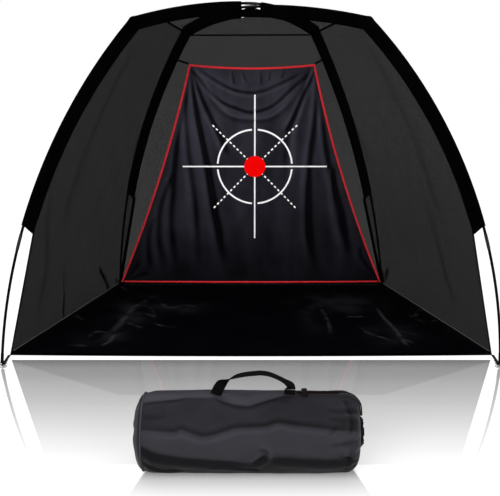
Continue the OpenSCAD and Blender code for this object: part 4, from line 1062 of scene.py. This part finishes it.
p, u, v = ground_grid(400, 200)
flat = p[..., :2] * [1, -1]
folds = sum(np.abs(crease(p[..., :2], curve, width, depth, 0.0, (0.25, 0.3)))
            for curve, width, depth in GROUND_FOLDS)
ripple = np.abs(noise_on(p, 3.0, 71.0)) * 0.004 + np.abs(noise_on(p, 9.0, 77.0)) * 0.0022
front_edge = np.clip((1 - v) * 12, 0, 1)
edge = np.clip((1 - np.abs(u)) * 14, 0, 1) * np.clip(v * 18, 0, 1) * (0.35 + 0.65 * front_edge)
edge = edge * np.clip((1 - v) * 22, 0, 1)
p[..., 2] = SHEET_T / 2 + (ripple + 0.8 * folds) * edge
# Painted light: a highlight along the folds, broken up by noise, and wide patches of painted
# sheen, stored for the material to turn the sheet towards its highlight colour.
sheen_breakup = np.clip(0.75 + 1.6 * noise_on(p * [1, 0.8, 1], 13.0, 79.0), 0.15, 1.5)
broken = np.clip(0.62 + 1.5 * noise_on(p, 22.0, 83.0), 0.12, 1.25)
lit = np.clip(folds / 0.0060, 0, 1) * broken
for x, y, wide, deep, share in GROUND_SHEEN_PATCHES:
    swell = np.exp(-(((p[..., 0] - x) / wide) ** 2) - ((p[..., 1] - y) / deep) ** 2)
    lit = lit + share * sheen_breakup * swell
ground = closed_sheet("ground_sheet_cloth", p, SHEET_T - 0.0001, GROUND, flat)
shade(ground, "painted_light_and_shade", np.clip(lit, 0, 1) * front_edge)
place(ground, "net", "ground_cloth", "ground_sheet")

s = np.linspace(-1, 1, 121)[8:-8]
front_line = stacked(SHEET_FRONT / 2 * s, -SHEET_DEPTH / 2 - SHEET_BOW * (1 - s**2), 0 * s)
hem_grid = np.stack([front_line + [0, 0.002 + HEM_W * share, SHEET_T + 0.0012]
                     for share in (1.0, 0.5, 0.0)])
hem = closed_sheet("ground_sheet_hem_cloth", hem_grid, TAPE_T, TAPE)
place(hem, "net", "seam_tape", "ground_sheet_hem")

# ---- Corner straps, and the cup under the crossing -----------------------------------
STRAP_W, STRAP_T = 0.012, 0.002
UP = np.array([0, 0, 1.0])
ring_low, ring_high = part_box("corner_rings")
CORNER_RING_Z = (ring_low[2] + ring_high[2]) / 2
CORNER_WIRE = (ring_high[2] - ring_low[2]) / 2
CORNER_RING_R = 0.009


def corner_strap(k, h):
    """Webbing from the sheet's corner up round the ring's wire."""
    foot = in_space(k, h, np.array([run(h), 0.0]))
    corner = np.array([*sheet_corner(k, h), 0.0])
    d = unit((foot - corner) * [1, 1, 0])
    near = foot - d * (2 * CORNER_RING_R - 0.0007)
    near[2] = CORNER_RING_Z
    a = np.linspace(-0.62 * math.pi, 0.98 * math.pi, 26)[:, None]
    r = CORNER_WIRE + 0.0014 + STRAP_T / 2
    wrap = near + d * (r * np.cos(a)) + UP * (r * np.sin(a))
    start = corner + d * 0.0016 + UP * (STRAP_T / 2 + 0.0002)
    path = np.vstack([mix(start, wrap[0], np.linspace(0, 1, 10)[:-1, None]), wrap])
    across = np.cross(d, UP)
    return ribbon("strap_%d_%d" % (k, h), path, STRAP_W, STRAP_T * 0.9, WEBBING, across)


for end, strap_name in ((FRONT, "front_corner_straps"), (REAR, "rear_corner_straps")):
    place_joined(strap_name, [corner_strap(k, end) for k in (LEFT, RIGHT)], "net", "webbing")

CROWN_T, CROWN_GAP = 0.0022, 0.0008
LIP_LOW, LIP_WAVE = 0.0010, 0.0100
cup_corners = [np.array([0, APEX_Y]) + heading(k, h) * (SLEEVE_START - CROWN_GAP)
               for k, h in ((RIGHT, FRONT), (LEFT, FRONT), (RIGHT, REAR), (LEFT, REAR))]
cup_line = np.concatenate([mix(a, b, np.linspace(0, 1, 24, endpoint=False)[:, None])
                           for a, b in zip(cup_corners, cup_corners[1:] + cup_corners[:1])])
cup_middle = cup_line.mean(0)


def cup_ring(share, z, inset=0.0):
    """A ring of the crown cup at a share of its width, drawn in by inset."""
    ring = mix(cup_middle, cup_line, share)
    ring = ring - unit(ring - cup_middle) * inset
    return np.column_stack([ring, np.broadcast_to(z, len(ring))])


low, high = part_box("crown_patch")
round_way = np.linspace(0, 2 * math.pi, len(cup_line), endpoint=False)
lip = high[2] - LIP_LOW + LIP_WAVE * np.sin(2 * round_way) ** 2
floor_z, deck_z = low[2] + 0.0002, low[2] + CROWN_T
cup = [cup_ring(f, floor_z) for f in (0.02, 0.25, 0.5, 0.75, 0.95, 1.0)]
cup += [cup_ring(1.0, mix(floor_z, lip, f)) for f in (0.1, 0.35, 0.6, 0.85, 1.0)]
cup += [cup_ring(1.0, mix(deck_z, lip, f), CROWN_T) for f in (1.0, 0.85, 0.6, 0.35, 0.1, 0.0)]
cup += [cup_ring(f, deck_z, CROWN_T * f) for f in (0.95, 0.75, 0.5, 0.25, 0.02)]
cup = np.array(cup)
cup = rings_mesh("crown_patch_cloth", cup, SLEEVE, cup[..., :2])
place(cup, "net", "sleeve_cloth", "crown_patch")

# ---- Target -----------------------------------------------------------------------
# The target's folds as curves of (metres across from its middle, share down), with the
# width and depth of each in metres, and how much wider it grows along its length.
TARGET_FOLDS = (
    (((-.295, .005), (-.317, .203), (-.31, .373), (-.283, .635), (-.27, .934)), .01, .006, 1.6),
    (((-.291, .005), (-.265, .203), (-.225, .409), (-.18, .684), (-.131, .965)), .01, .01, 2.2),
    (((-.283, .014), (-.238, .142), (-.153, .309), (-.104, .409)), .009, .007, 1.4),
    (((-.317, .133), (-.364, .336), (-.392, .54), (-.411, .733), (-.389, .965)), .012, .006, 1.4),
    (((-.401, .493), (-.459, .635), (-.476, .782), (-.453, .965)), .014, .006, 1),
    (((-.497, .684), (-.529, .782), (-.528, .965)), .014, .005, .8),
    (((-.642, .975), (-.578, .893)), .008, .004, 1),
    (((-.637, .986), (-.538, .955)), .008, .004, 1),
    (((.317, .005), (.315, .22), (.292, .446), (.296, .733), (.34, .965)), .011, .007, 1.6),
    (((.317, .005), (.262, .116), (.206, .238), (.167, .3)), .008, .009, 1.2),
    (((.322, .014), (.349, .22), (.393, .446), (.477, .703), (.523, .965)), .011, .007, 1.6),
    (((.298, .014), (.235, .203), (.208, .309), (.203, .54)), .01, -.006, 1.6),
    (((.414, .446), (.433, .635), (.494, .832)), .013, .006, 1),
    (((.674, .986), (.582, .883), (.567, .812)), .009, .005, 1),
    (((-.288, .014), (-.17, .142), (-.052, .194), (.017, .203), (.106, .176), (.203, .099),
      (.312, .014)), .01, .005, 0),
    (((-.264, .022), (-.131, .194), (.007, .229), (.126, .203), (.261, .073)), .012, -.004, 0),
    (((-.254, .018), (-.149, .081), (-.052, .116), (.046, .116), (.163, .073), (.278, .018)), .01,
      .0045, 0),
    (((-.09, .03), (-.079, .09)), .006, .0035, .6),
    (((-.041, .03), (-.02, .081)), .006, .0035, .6),
    (((.046, .03), (.051, .09)), .006, .0035, .6),
    (((.094, .03), (.085, .073)), .006, .0035, .6),
    (((.162, .022), (.144, .064)), .006, .0035, .6),
)
TARGET_UP = unit(np.array([0, TOP[0] - BOTTOM[0], TOP[1] - BOTTOM[1]]))
TARGET_OUT = unit(np.array([0, -TARGET_UP[2], TARGET_UP[1]]))
DROP = math.hypot(TOP[0] - BOTTOM[0], TOP[1] - BOTTOM[1])


def target_grid(cols, rows):
    """The hung cloth, row by row from its top, its flat places, and a number from its folds
    for its painted shade and painted highlights.
    """
    u = np.linspace(-1, 1, cols + 1)
    v = np.linspace(0, 1, rows + 1)[:, None]
    half = mix(TOP_W, BOTTOM_W, v) / 2 - SIDE_DRAW * 4 * v * (1 - v)
    x = u * half + TOP_SHIFT * np.clip(u, 0, 1) * (1 - v) ** 2
    sag = mix(TOP_SAG, BOTTOM_SAG, v) * (1 - u**2)
    p = stacked(x, mix(TOP[0], BOTTOM[0], v), mix(TOP[1], BOTTOM[1], v) - sag)
    flat = stacked(x, v * DROP + sag)
    h = np.zeros(x.shape)
    for curve, width, depth, spread in TARGET_FOLDS:
        line = [(cx, cv * DROP) for cx, cv in curve]
        h += crease(flat, line, width * 0.85, depth, 0.6, (0.04, 0.25), spread * 0.8)
    for squash, scale, seed, height in ((0.35, 8.0, 51.0, 0.0035), (0.6, 24.0, 57.0, 0.0012),
                                        (0.10, 26.0, 93.0, 0.0012)):
        h += noise_on(p * [1, 1, squash], scale, seed) * height
    h *= np.clip(9 * (1 - np.abs(u)) + 0.10, 0, 1)
    h *= np.clip(18 * v + 0.12, 0, 1) * np.clip(16 * (1 - v) + 0.25, 0, 1)
    # The print lies where the camera sees it straight across the folds.
    toward = unit(p - CAMERA_AT)
    shift = h[..., None] * (TARGET_OUT - toward / (toward @ TARGET_OUT)[..., None])
    flat = flat + np.stack([shift[..., 0], -(shift @ TARGET_UP)], -1)
    return p + TARGET_OUT * h[..., None], flat, np.clip(0.5 + h / 0.009, 0, 1)


target_p, target_flat, painted_light_and_shade = target_grid(280, 280)
target = closed_sheet("target_cloth_sheet", target_p, TARGET_T, TARGET, target_flat)
shade(target, "painted_light_and_shade", painted_light_and_shade)
place(target, "target", "target_cloth", "target_cloth")


def along_edge(p, inward):
    """Three lines across the binding, from the target's edge towards its inside."""
    d = unit(inward - p)
    return [p + d * (BINDING_W * share - EDGE_OVER) for share in (0, 0.5, 1)]


strips = (np.stack(along_edge(target_p[:, 0], target_p[:, 6]), 1),
          np.stack(along_edge(target_p[:, -1], target_p[:, -7])[::-1], 1),
          np.stack(along_edge(target_p[0], target_p[4]))[:, 4:-4],
          np.stack(along_edge(target_p[-1], target_p[-5])[::-1])[:, 3:-3])
binding_off = TARGET_T / 2 + TAPE_T / 2 + SEAM_GAP
strips = [closed_sheet("binding_%d" % i, strip, TAPE_T, BINDING, offset=binding_off)
          for i, strip in enumerate(strips)]
binding = place_joined("target_binding", strips, "target", "red_binding")
hang(target, target_p, "hung", with_pieces=[binding])

TIE_W, TIE_T, TIE_H = 0.010, 0.0012, 1.196


def tie(name, p, q, side, sag):
    s = np.linspace(0, 1, 18)[:, None]
    path = mix(p, q, s) - UP * (sag * 4 * s * (1 - s))
    return ribbon(name, path, TIE_W, TIE_T, WEBBING, side)


top_ties, low_ties = [], []
for k in (LEFT, RIGHT):
    o, side = 1 - k, side_of(k)
    leg = pole_arcs(o, REAR)[2]
    on_leg = arc_at(leg, leg_angle(leg, TIE_H), -(SLEEVE_W + 0.0027))
    start = target_p[0, -k] + [side * 0.0018, 0.0002, 0.0018]
    end = in_space(o, REAR, on_leg, side_of(o) * 0.0013)
    top_ties.append(tie("top_tie_%d" % k, start, end, (0, 0.15, 1), 0.0))
    start = target_p[-1, -k] + [side * 0.0012, 0.0004, -0.0012]
    end = np.array([side * (SHEET_REAR / 2 - 0.024), SHEET_DEPTH / 2 - 0.022,
                    SHEET_T + TIE_T / 2 + 0.0006])
    low_ties.append(tie("low_tie_%d" % k, start, end, (1, 0, 0), 0.001))
place_joined("target_top_ties", top_ties, "net", "webbing")
place_joined("target_bottom_ties", low_ties, "net", "webbing")

# ---- Bag --------------------------------------------------------------------------
BAG_AROUND = 260
# Folds in the bag's cloth as curves of (x, metres round from its top towards the front),
# with the width and depth of each.
BAG_FOLDS = (
    (((-.32, .128), (-.225, .134), (-.202, .126), (-.179, .134), (-.142, .146), (-.106, .141),
      (-.042, .121), (.041, .116), (.078, .105), (.143, .115), (.242, .128), (.305, .132)), .01,
      .0065),
    (((-.32, .178), (-.281, .203), (-.217, .218), (-.144, .227), (-.065, .234), (.005, .238)),
      .012, .006),
    (((.003, .24), (.032, .219), (.043, .206), (.04, .193), (.017, .188)), .008, .0065),
    (((.051, .215), (.12, .218), (.213, .227), (.272, .223), (.305, .219)), .013, .0055),
    (((-.319, .227), (-.295, .25), (-.253, .272), (-.194, .269)), .008, .0045),
    (((-.134, .25), (-.076, .245), (-.003, .262), (.032, .27)), .007, .0035),
    (((-.112, -.03), (-.086, .016), (-.056, .039), (-.006, .045), (.05, .019), (.099, .001)),
      .016, .005),
    (((-.315, .035), (-.278, .031), (-.193, .019)), .014, .004),
    (((.225, .146), (.236, .133), (.251, .122)), .006, .0035),
    (((.274, .02), (.288, .075), (.292, .114), (.285, .155)), .007, .0045),
    (((.255, .209), (.287, .227), (.305, .254)), .008, .0045),
    (((.291, .18), (.284, .219), (.276, .262)), .008, .004),
    (((.315, .06), (.262, .074), (.215, .066)), .007, .0035),
    (((.315, .1), (.262, .1), (.222, .096)), .007, .003),
    (((.315, .16), (.268, .172), (.225, .176)), .008, .004),
    (((-.318, .09), (-.285, .094), (-.24, .088)), .008, .003),
    (((-.318, -.06), (-.2, -.08), (.02, -.075), (.2, -.09)), .014, .005),
    (((-.31, -.15), (-.15, -.13), (.06, -.16), (.3, -.14)), .014, .005),
    (((.31, -.06), (.262, -.066), (.21, -.05)), .008, .0035),
)
# The bag's painted light and shade change across three of its folds: (x, metres round)
# along each.
TOP_BAND = ((-.325, .035), (-.278, .031), (-.193, .019), (-.11, .021), (-.053, .043),
            (-.006, .047), (.05, .019), (.099, .001), (.33, .002))
MAIN_FOLD = BAG_FOLDS[0][0]
LOW_BAND = ((-.32, .178), (-.281, .203), (-.217, .218), (-.144, .227), (.005, .236), (.03, .206),
            (.051, .215), (.213, .227), (.33, .219))
# Painted tones of the top, the band, the belly, the underside and the back.
PAINTED_BAG_LIGHT = (0.53, 0.16, 0.35, 0.02, 0.20)


def bag_profile(n):
    """Points along the bag from its end seam to its mouth, with the radius at each."""
    body = np.linspace(BAG_SEAM_X + 0.001, BAG_RIGHT - END_ROUND, n)
    a = np.linspace(0, math.pi / 2, 22)[1:]
    face = np.linspace(BAG_R - END_ROUND, MOUTH_R + 0.012, 10)[1:]
    shoulder_x = BAG_RIGHT - END_ROUND + END_ROUND * np.sin(a)
    shoulder_r = BAG_R - END_ROUND + END_ROUND * np.cos(a)
    x = np.concatenate([body, shoulder_x, np.full(len(face), BAG_RIGHT)])
    return x, np.concatenate([np.full(n, BAG_R), shoulder_r, face])


def bag_painted_light(x, a, painted_light_and_shade):
    """Painted light and shade on the bag's cloth: a lit top, a darker band, a lit belly, a
    shaded underside and a darker back, shaded in its hollows and lit on its rises.
    """
    top, dark, belly, under, behind = PAINTED_BAG_LIGHT
    line = [np.interp(x, *np.array(c).T) for c in (TOP_BAND, MAIN_FOLD, LOW_BAND)]
    tone = top + (dark - top) * smooth(a, line[0] - 0.006, line[0] + 0.008)
    tone = tone + (belly - dark) * smooth(a, line[1] - 0.004, line[1] + 0.004)
    tone = tone + (under - belly) * smooth(a, line[2] - 0.014, line[2] + 0.006)
    tone = tone + (behind - tone) * smooth(-a, 0.05, 0.12)
    return np.clip(tone + painted_light_and_shade * 15, 0.02, 1)


def round_bag(x, r, t):
    """Points at the distance r from the bag's axis, turned by t from its top to the front."""
    return stacked(x, BAG_Y - r * np.sin(t), BAG_Z + r * np.cos(t))


def bag_grid():
    x, r = bag_profile(190)
    t = np.linspace(0, 2 * math.pi, BAG_AROUND, endpoint=False)
    X, T, R = np.moveaxis(stacked(x[:, None], t, r[:, None]), -1, 0)
    fold_t = np.where(T > 1.25 * math.pi, T - 2 * math.pi, T)
    here = np.stack([X, fold_t * BAG_R], -1)
    ring = np.stack([X, BAG_R * np.sin(T), BAG_R * np.cos(T)], -1)
    h = sum(crease(here, curve, width, depth, 0.6, (0.12, 0.2))
            for curve, width, depth in BAG_FOLDS)
    h = h + noise_on(ring * [0.6, 1, 1], 7.0, 61.0) * 0.0035 + noise_on(ring, 20.0, 67.0) * 0.0014
    # Gathers run from the mouth over the shoulder.
    near = smooth(X, BAG_RIGHT - 0.085, BAG_RIGHT - 0.004)
    h -= 0.0055 * near * np.abs(np.sin(11 * T + 1.7 * np.sin(3 * T))) ** 1.5
    tucked = np.clip((X - BAG_SEAM_X) * 40, 0, 1)
    waist = 0.0060 * (1 - smooth(X, BAG_SEAM_X, BAG_SEAM_X + 0.034))
    R = R + h * tucked * np.clip(R / BAG_R, 0.25, 1) + BAG_PUFF - waist
    # The drawstring's channel stands up a little over the shoulder.
    R = R + 0.0065 * smooth(X, 0.250, 0.272) * bell(fold_t, 0.085) * smooth(R, 0.050, 0.075)
    channel = bell(fold_t, 0.075 * BAG_R / np.maximum(R, 0.03)) * smooth(R, 0.040, 0.055)
    X = X + 0.0056 * channel * smooth(X, BAG_RIGHT - 0.030, BAG_RIGHT - 0.004)
    p = round_bag(X, R, T)
    z = p[..., 2] - 0.0035 * bell(X - 0.02, 0.09) * np.clip(np.cos(T), 0, 1) ** 2
    # The cloth lies flat on the ground, and leaves it in a soft bend.
    low, bend = 0.0012, 0.006
    p[..., 2] = np.where(z < low + bend, low + bend * np.exp((z - low - bend) / bend), z)
    return p, np.stack([X, T * BAG_R], -1), bag_painted_light(X, fold_t * BAG_R, h - 0.0012)


# tone holds the bag's painted light and shade.
bag_p, bag_uv, tone = bag_grid()
around = np.roll(bag_p, -1, axis=1) - np.roll(bag_p, 1, axis=1)
normal = unit(np.cross(around, np.gradient(bag_p, axis=0)))
bag = shell("bag_cloth_body", bag_p, bag_p - normal * BAG_SKIN, bag_uv, BAG, tone)
place(bag, "bag", "bag_cloth", "bag_body")

# The domed panel over the closed end, from the middle out to the seam.
share = np.linspace(0.03, 1, 26)[:, None]
t = np.linspace(0, 2 * math.pi, BAG_AROUND, endpoint=False)
centre = np.array([BAG_SEAM_X, BAG_Y, BAG_Z])
dome = centre + (bag_p[0] - centre)[None] * (share[..., None] * 0.985)
puckers = 0.0015 * np.sin(9 * t + 2 * np.sin(2 * t)) * share * (1 - share) * 4
bulge = END_BULGE * np.clip(1 - share**2.4, 0, 1) ** 0.62 + puckers
dome[..., 0] = BAG_SEAM_X - bulge - 0.0005
dome[..., 2] = np.maximum(dome[..., 2], 0.0035)
panel_uv = stacked(share * np.cos(t) * BAG_R, share * np.sin(t) * BAG_R)
# The end panel's tone: low, with a random mottle, and a painted highlight in a ring near the seam.
mottle = 0.10 * np.clip(noise_on(dome, 22.0, 83.0), -1, 1)
panel = shell("bag_end_panel_cloth", dome, dome + [PANEL_SKIN, 0, 0], panel_uv, BAG,
              0.10 + mottle + 0.25 * bell(share - 0.93, 0.03))
place(panel, "bag", "bag_cloth", "bag_end_panel")

# Piping round the end seam.
pipe_path = bag_p[0] + [0.0006, 0, 0]
pipe_path[:, 2] = np.maximum(pipe_path[:, 2], 0.0029)
piping = tube("bag_piping_cord", pipe_path, PIPING_R, PIPING_PAINTED_LIGHTER, up=(1, 0, 0), loop=True)
place(piping, "bag", "bag_cloth", "bag_piping")

# The frill round the mouth: pleated cloth that flares out from the drawn cord.
t = np.linspace(0, 2 * math.pi, 240, endpoint=False)
s = np.linspace(0, 1, 20)[:, None]
wave = np.cos(14 * t + 0.9 * np.sin(3 * t)) + 0.35 * np.sin(29 * t + 1.0)
swell = 0.010 * np.sin(np.pi * np.clip(s * 1.2, 0, 1))
radius = 0.034 + swell + 0.0045 * s * wave + 0.003 * s
frill_x = BAG_RIGHT + 0.0005 + (COLLAR_END - BAG_RIGHT - 0.002) * s + 0.0012 * s * np.sin(7 * t)
outer, inner = (round_bag(frill_x, r, t) for r in (radius, radius - FRILL_SKIN))
collar = shell("bag_collar_frill", outer, inner, stacked(t * 0.045, s * 0.024), FRILL)
place(collar, "bag", "bag_cloth", "bag_collar")

t = np.linspace(0, 2 * math.pi, 96, endpoint=False)
loop_path = round_bag(BAG_RIGHT + 0.0123, MOUTH_LOOP_R, t)
loop_cord = tube("drawstring_loop_cord", loop_path, CORD_D / 2, CORD, up=(1, 0, 0), loop=True)
place(loop_cord, "bag", "drawstring_cord", "drawstring_loop")

# The handle: webbing that stands up from two sewn feet with its face to the front, and
# turns flat over its top: (share of the half span, share of the rise, turn in degrees).
BAG_TOP = BAG_Z + BAG_R
HANDLE_ARCH = ((-1, 0, 0), (-.978, .1, 0), (-.945, .22, 0), (-.9, .36, 2), (-.84, .5, 8),
               (-.76, .6, 22), (-.66, .695, 42), (-.54, .79, 62), (-.4, .87, 77), (-.19, .94, 87),
               (.04, .98, 90), (.22, 1, 90), (.42, .955, 90), (.6, .85, 90), (.75, .73, 88),
               (.87, .61, 80), (.955, .5, 62), (1, .4, 38), (1.01, .3, 12), (1.008, .2, 2),
               (1.003, .1, 0), (1, 0, 0))
arch = curve_through(HANDLE_ARCH, 400)
turn = np.radians(arch[:, 2])
width_way = np.stack([np.cos(turn), np.sin(turn), 0 * turn], 1)
arch = stacked(HANDLE_X + arch[:, 0] * HANDLE_HALF, BAG_Y, BAG_TOP + arch[:, 1] * HANDLE_RISE)
HUB_TOP = BAG_TOP + 0.0160
x, z = arch[:, 0], arch[:, 2]
upper_part = np.flatnonzero(z > HUB_TOP + 0.0003)
keep = slice(upper_part[0], upper_part[-1] + 1, 3)
handle = ribbon("bag_handle_strap", arch[keep], HANDLE_W, HANDLE_T, WEBBING, width_way[keep])
place(handle, "bag_handle", "webbing", "bag_handle")
feet = []
for side in (-1, 1):
    part = (z < HUB_TOP - 0.0002) & (z > BAG_TOP + 0.0004) & (np.sign(x - HANDLE_X) == side)
    feet.append(ribbon("handle_foot_%d" % side, arch[part], HANDLE_W, HANDLE_T, WEBBING,
                       width_way[part]))
place(joined("handle_anchor_feet", feet), "bag", "webbing", "handle_anchors")

# ---- Drawstring -------------------------------------------------------------------
# The two strands as (mm from the mouth, mm above the bag's axis), from the lock to the cord's
# exits: straight over the bag, and then round its shoulder.
STRAIGHT = (-179, -160, -140, -120, -100, -80, -68)
UPPER = [(x, 129.9) for x in STRAIGHT] + [
    (-58, 129.7), (-48, 128.9), (-38, 127.2), (-28, 124.7), (-18, 120), (-9, 113.2),
    (-.6, 103.4), (5.8, 91.6), (8.8, 80), (10.4, 68), (11.1, 58), (11.2, 52.5)]
LOWER = [(x, 125.3) for x in STRAIGHT] + [
    (-58, 125), (-48, 124), (-38, 122.4), (-28, 119.4), (-19, 114.8), (-11, 108.4),
    (-4, 99.6), (1.6, 89), (4.6, 78), (6.4, 66), (7, 58), (7, 52.5)]


def strand(name, route):
    """A strand of the drawstring as a curve, with its path and its length."""
    points = [(BAG_RIGHT + x / 1000, BAG_Y, BAG_Z + z / 1000) for x, z in route]
    path = curve_through(points[::-1], 80)
    curve = bpy.data.curves.new(name, "CURVE")
    curve.dimensions = "3D"
    spline = curve.splines.new("POLY")
    spline.points.add(len(path) - 1)
    spline.points.foreach_set("co", np.hstack([path, np.ones((len(path), 1))]).ravel())
    curve.bevel_depth = CORD_D / 2
    curve.bevel_resolution = 4
    curve.use_fill_caps = True
    curve.materials.append(CORD)
    return link(name, curve), path, float(run_along(path)[-1])


upper, upper_path, upper_length = strand("drawstring_upper", UPPER)
lower, lower_path, lower_length = strand("drawstring_lower", LOWER)
place(upper, "bag", "drawstring_cord", "drawstring")
place(lower, "bag", "drawstring_cord")
knot_x = np.linspace(0.1435, 0.1350, 12)
knot_r = 0.0046 * np.sqrt(np.clip(1 - ((knot_x - 0.1393) / 0.0048) ** 2, 0.02, 1))
knot = tube("drawstring_knot", stacked(knot_x, BAG_Y, BAG_Z + 0.1276), knot_r, CORD, 16)
place(knot, "bag", "drawstring_cord", "drawstring_knots")

# ---- Floor, light and camera --------------------------------------------------------
# Strength of the floor's mirror image at places in front of the net and of the bag: (y, share).
NET_MIRROR = ((-.548, 0), (-.55, .79), (-.634, .69), (-.713, .67), (-.788, .62), (-.86, .59),
              (-.928, .55), (-.993, .5), (-1.056, .45), (-1.116, .4), (-1.173, .35), (-1.228, .3),
              (-1.281, .26), (-1.332, .21), (-1.381, .18), (-1.389, 0))
BAG_MIRROR = ((-1.6, .15), (-1.56, .22), (-1.518, .31), (-1.474, .43), (-1.429, .7), (-1.4, .75))
FLOOR_GREY, FLOOR_GLOW, FLOOR_Z = 0.36, 0.70, -0.0006
BAG_FRONT_Y, BAG_IMAGE_Y, BAG_IMAGE_HALF, BAG_IMAGE_GROWS = -1.39, -1.429, 0.3164, 0.24
SHEET_IMAGE_Y, SHEET_IMAGE_HALF, SHEET_IMAGE_GROWS = 0.556, 0.981, 1.514
SHEET_IMAGE_END_Y, SHEET_IMAGE_SHARE = -0.885, 0.055


def share_along(m, y, stops):
    """A number that follows the given (y, share) stops."""
    stops = sorted(stops)
    low, high = stops[0][0], stops[-1][0]
    made = m.tree.nodes.new("ShaderNodeValToRGB")
    m.put(made.inputs[0], m.ramp(y, low, high))
    points = made.color_ramp.elements
    while len(points) < len(stops):
        points.new(0.5)
    for point, (at, share) in zip(points, stops):
        point.position = (at - low) / (high - low)
        point.color = (share, share, share, 1)
    return Value(m, made.outputs[0])


def floor_material():
    """White studio floor with a mirror image that fades away from the net and from the bag."""
    m = Material("studio_floor")
    x, y = m.split(m.place())
    in_front = y < BAG_FRONT_Y
    # The bag's image widens a little towards the camera.
    half = (BAG_IMAGE_Y - y) * BAG_IMAGE_GROWS + BAG_IMAGE_HALF
    by_bag = m.ramp(abs(x + 0.0035) - half, -0.002, 0.006, 1.0, 0.0)
    bag_share = share_along(m, y, BAG_MIRROR) * in_front * by_bag
    net_share = share_along(m, y, NET_MIRROR) * (1.0 - in_front)
    # The image of the ground sheet, a little darker, narrows away from the net.
    sheet_half = (y + SHEET_IMAGE_Y) * SHEET_IMAGE_GROWS + SHEET_IMAGE_HALF
    sheet = m.ramp(abs(x) - sheet_half, -0.004, 0.004, SHEET_IMAGE_SHARE, 0.0)
    sheet = sheet * (y > SHEET_IMAGE_END_Y) * (y < NET_MIRROR[1][0])
    diffuse = m.value("BsdfDiffuse", {"Color": (FLOOR_GREY,) * 3})
    seen = m.light_path("Is Camera Ray") | m.light_path()
    glow = m.value("Emission", {"Color": (1, 1, 1), "Strength": seen * FLOOR_GLOW})
    mirror = m.value("BsdfGlossy", {"Color": (1, 1, 1), "Roughness": 0.03})
    white = m.value("AddShader", {0: diffuse, 1: glow})
    share = net_share + sheet + bag_share
    mixed = m.value("MixShader", {0: share, 1: white, 2: mirror})
    m.put(m.tree.nodes["Material Output"].inputs["Surface"], mixed)
    return m.owner


floor_grid = np.stack(np.meshgrid(np.linspace(-14, 14, 9), np.linspace(14, -8, 9)), -1)
floor_points = stacked(floor_grid[..., 0], floor_grid[..., 1], FLOOR_Z)
floor_faces = [(a, a + 9, a + 10, a + 1) for i in range(8) for a in range(9 * i, 9 * i + 8)]
floor = new_mesh("floor", floor_points, floor_faces, floor_material(), smooth_shade=False)

SOFT_LIGHT = 0.9
scene = bpy.context.scene
scene.world = bpy.data.worlds.new("studio")
sky = Nodes(scene.world)
background = sky.tree.nodes["Background"].inputs
seen = sky.light_path("Is Camera Ray") | sky.light_path()
sky.put(background["Color"], (1, 1, 1))
sky.put(background["Strength"], sky.ramp(seen, 0.0, 1.0, SOFT_LIGHT, 1.0))

# Lamps: name, place, the point it shines at, size and power.
LAMPS = (("key", (-1.7, -4.3, 2.6), (0, 0, 0.6), (2.2, 1.6), 150),
         ("fill", (2.4, -4.0, 2.2), (0, 0, 0.6), (2.4, 2.0), 60),
         ("overhead", (0, -0.4, 4.2), (0, -0.2, 0), (3.5, 2.5), 40))
for name, location, at, size, power in LAMPS:
    data = bpy.data.lights.new(name, "AREA")
    data.shape = "RECTANGLE"
    data.size, data.size_y = size
    data.energy = power
    light = link(name, data)
    light.location = location
    light.rotation_euler = (Vector(at) - Vector(location)).to_track_quat("-Z", "Y").to_euler()
    light.visible_camera = light.visible_glossy = False

lens = bpy.data.cameras.new("camera")
lens.lens = LENS_MM
lens.sensor_width = 36
lens.shift_x = LENS_SHIFT
lens.clip_start, lens.clip_end = 0.05, 60
camera = scene.camera = link("camera", lens)
camera.location = CAMERA_AT
camera.rotation_euler = (math.radians(CAMERA_TILT), 0, 0)
scene.view_settings.view_transform = "Standard"
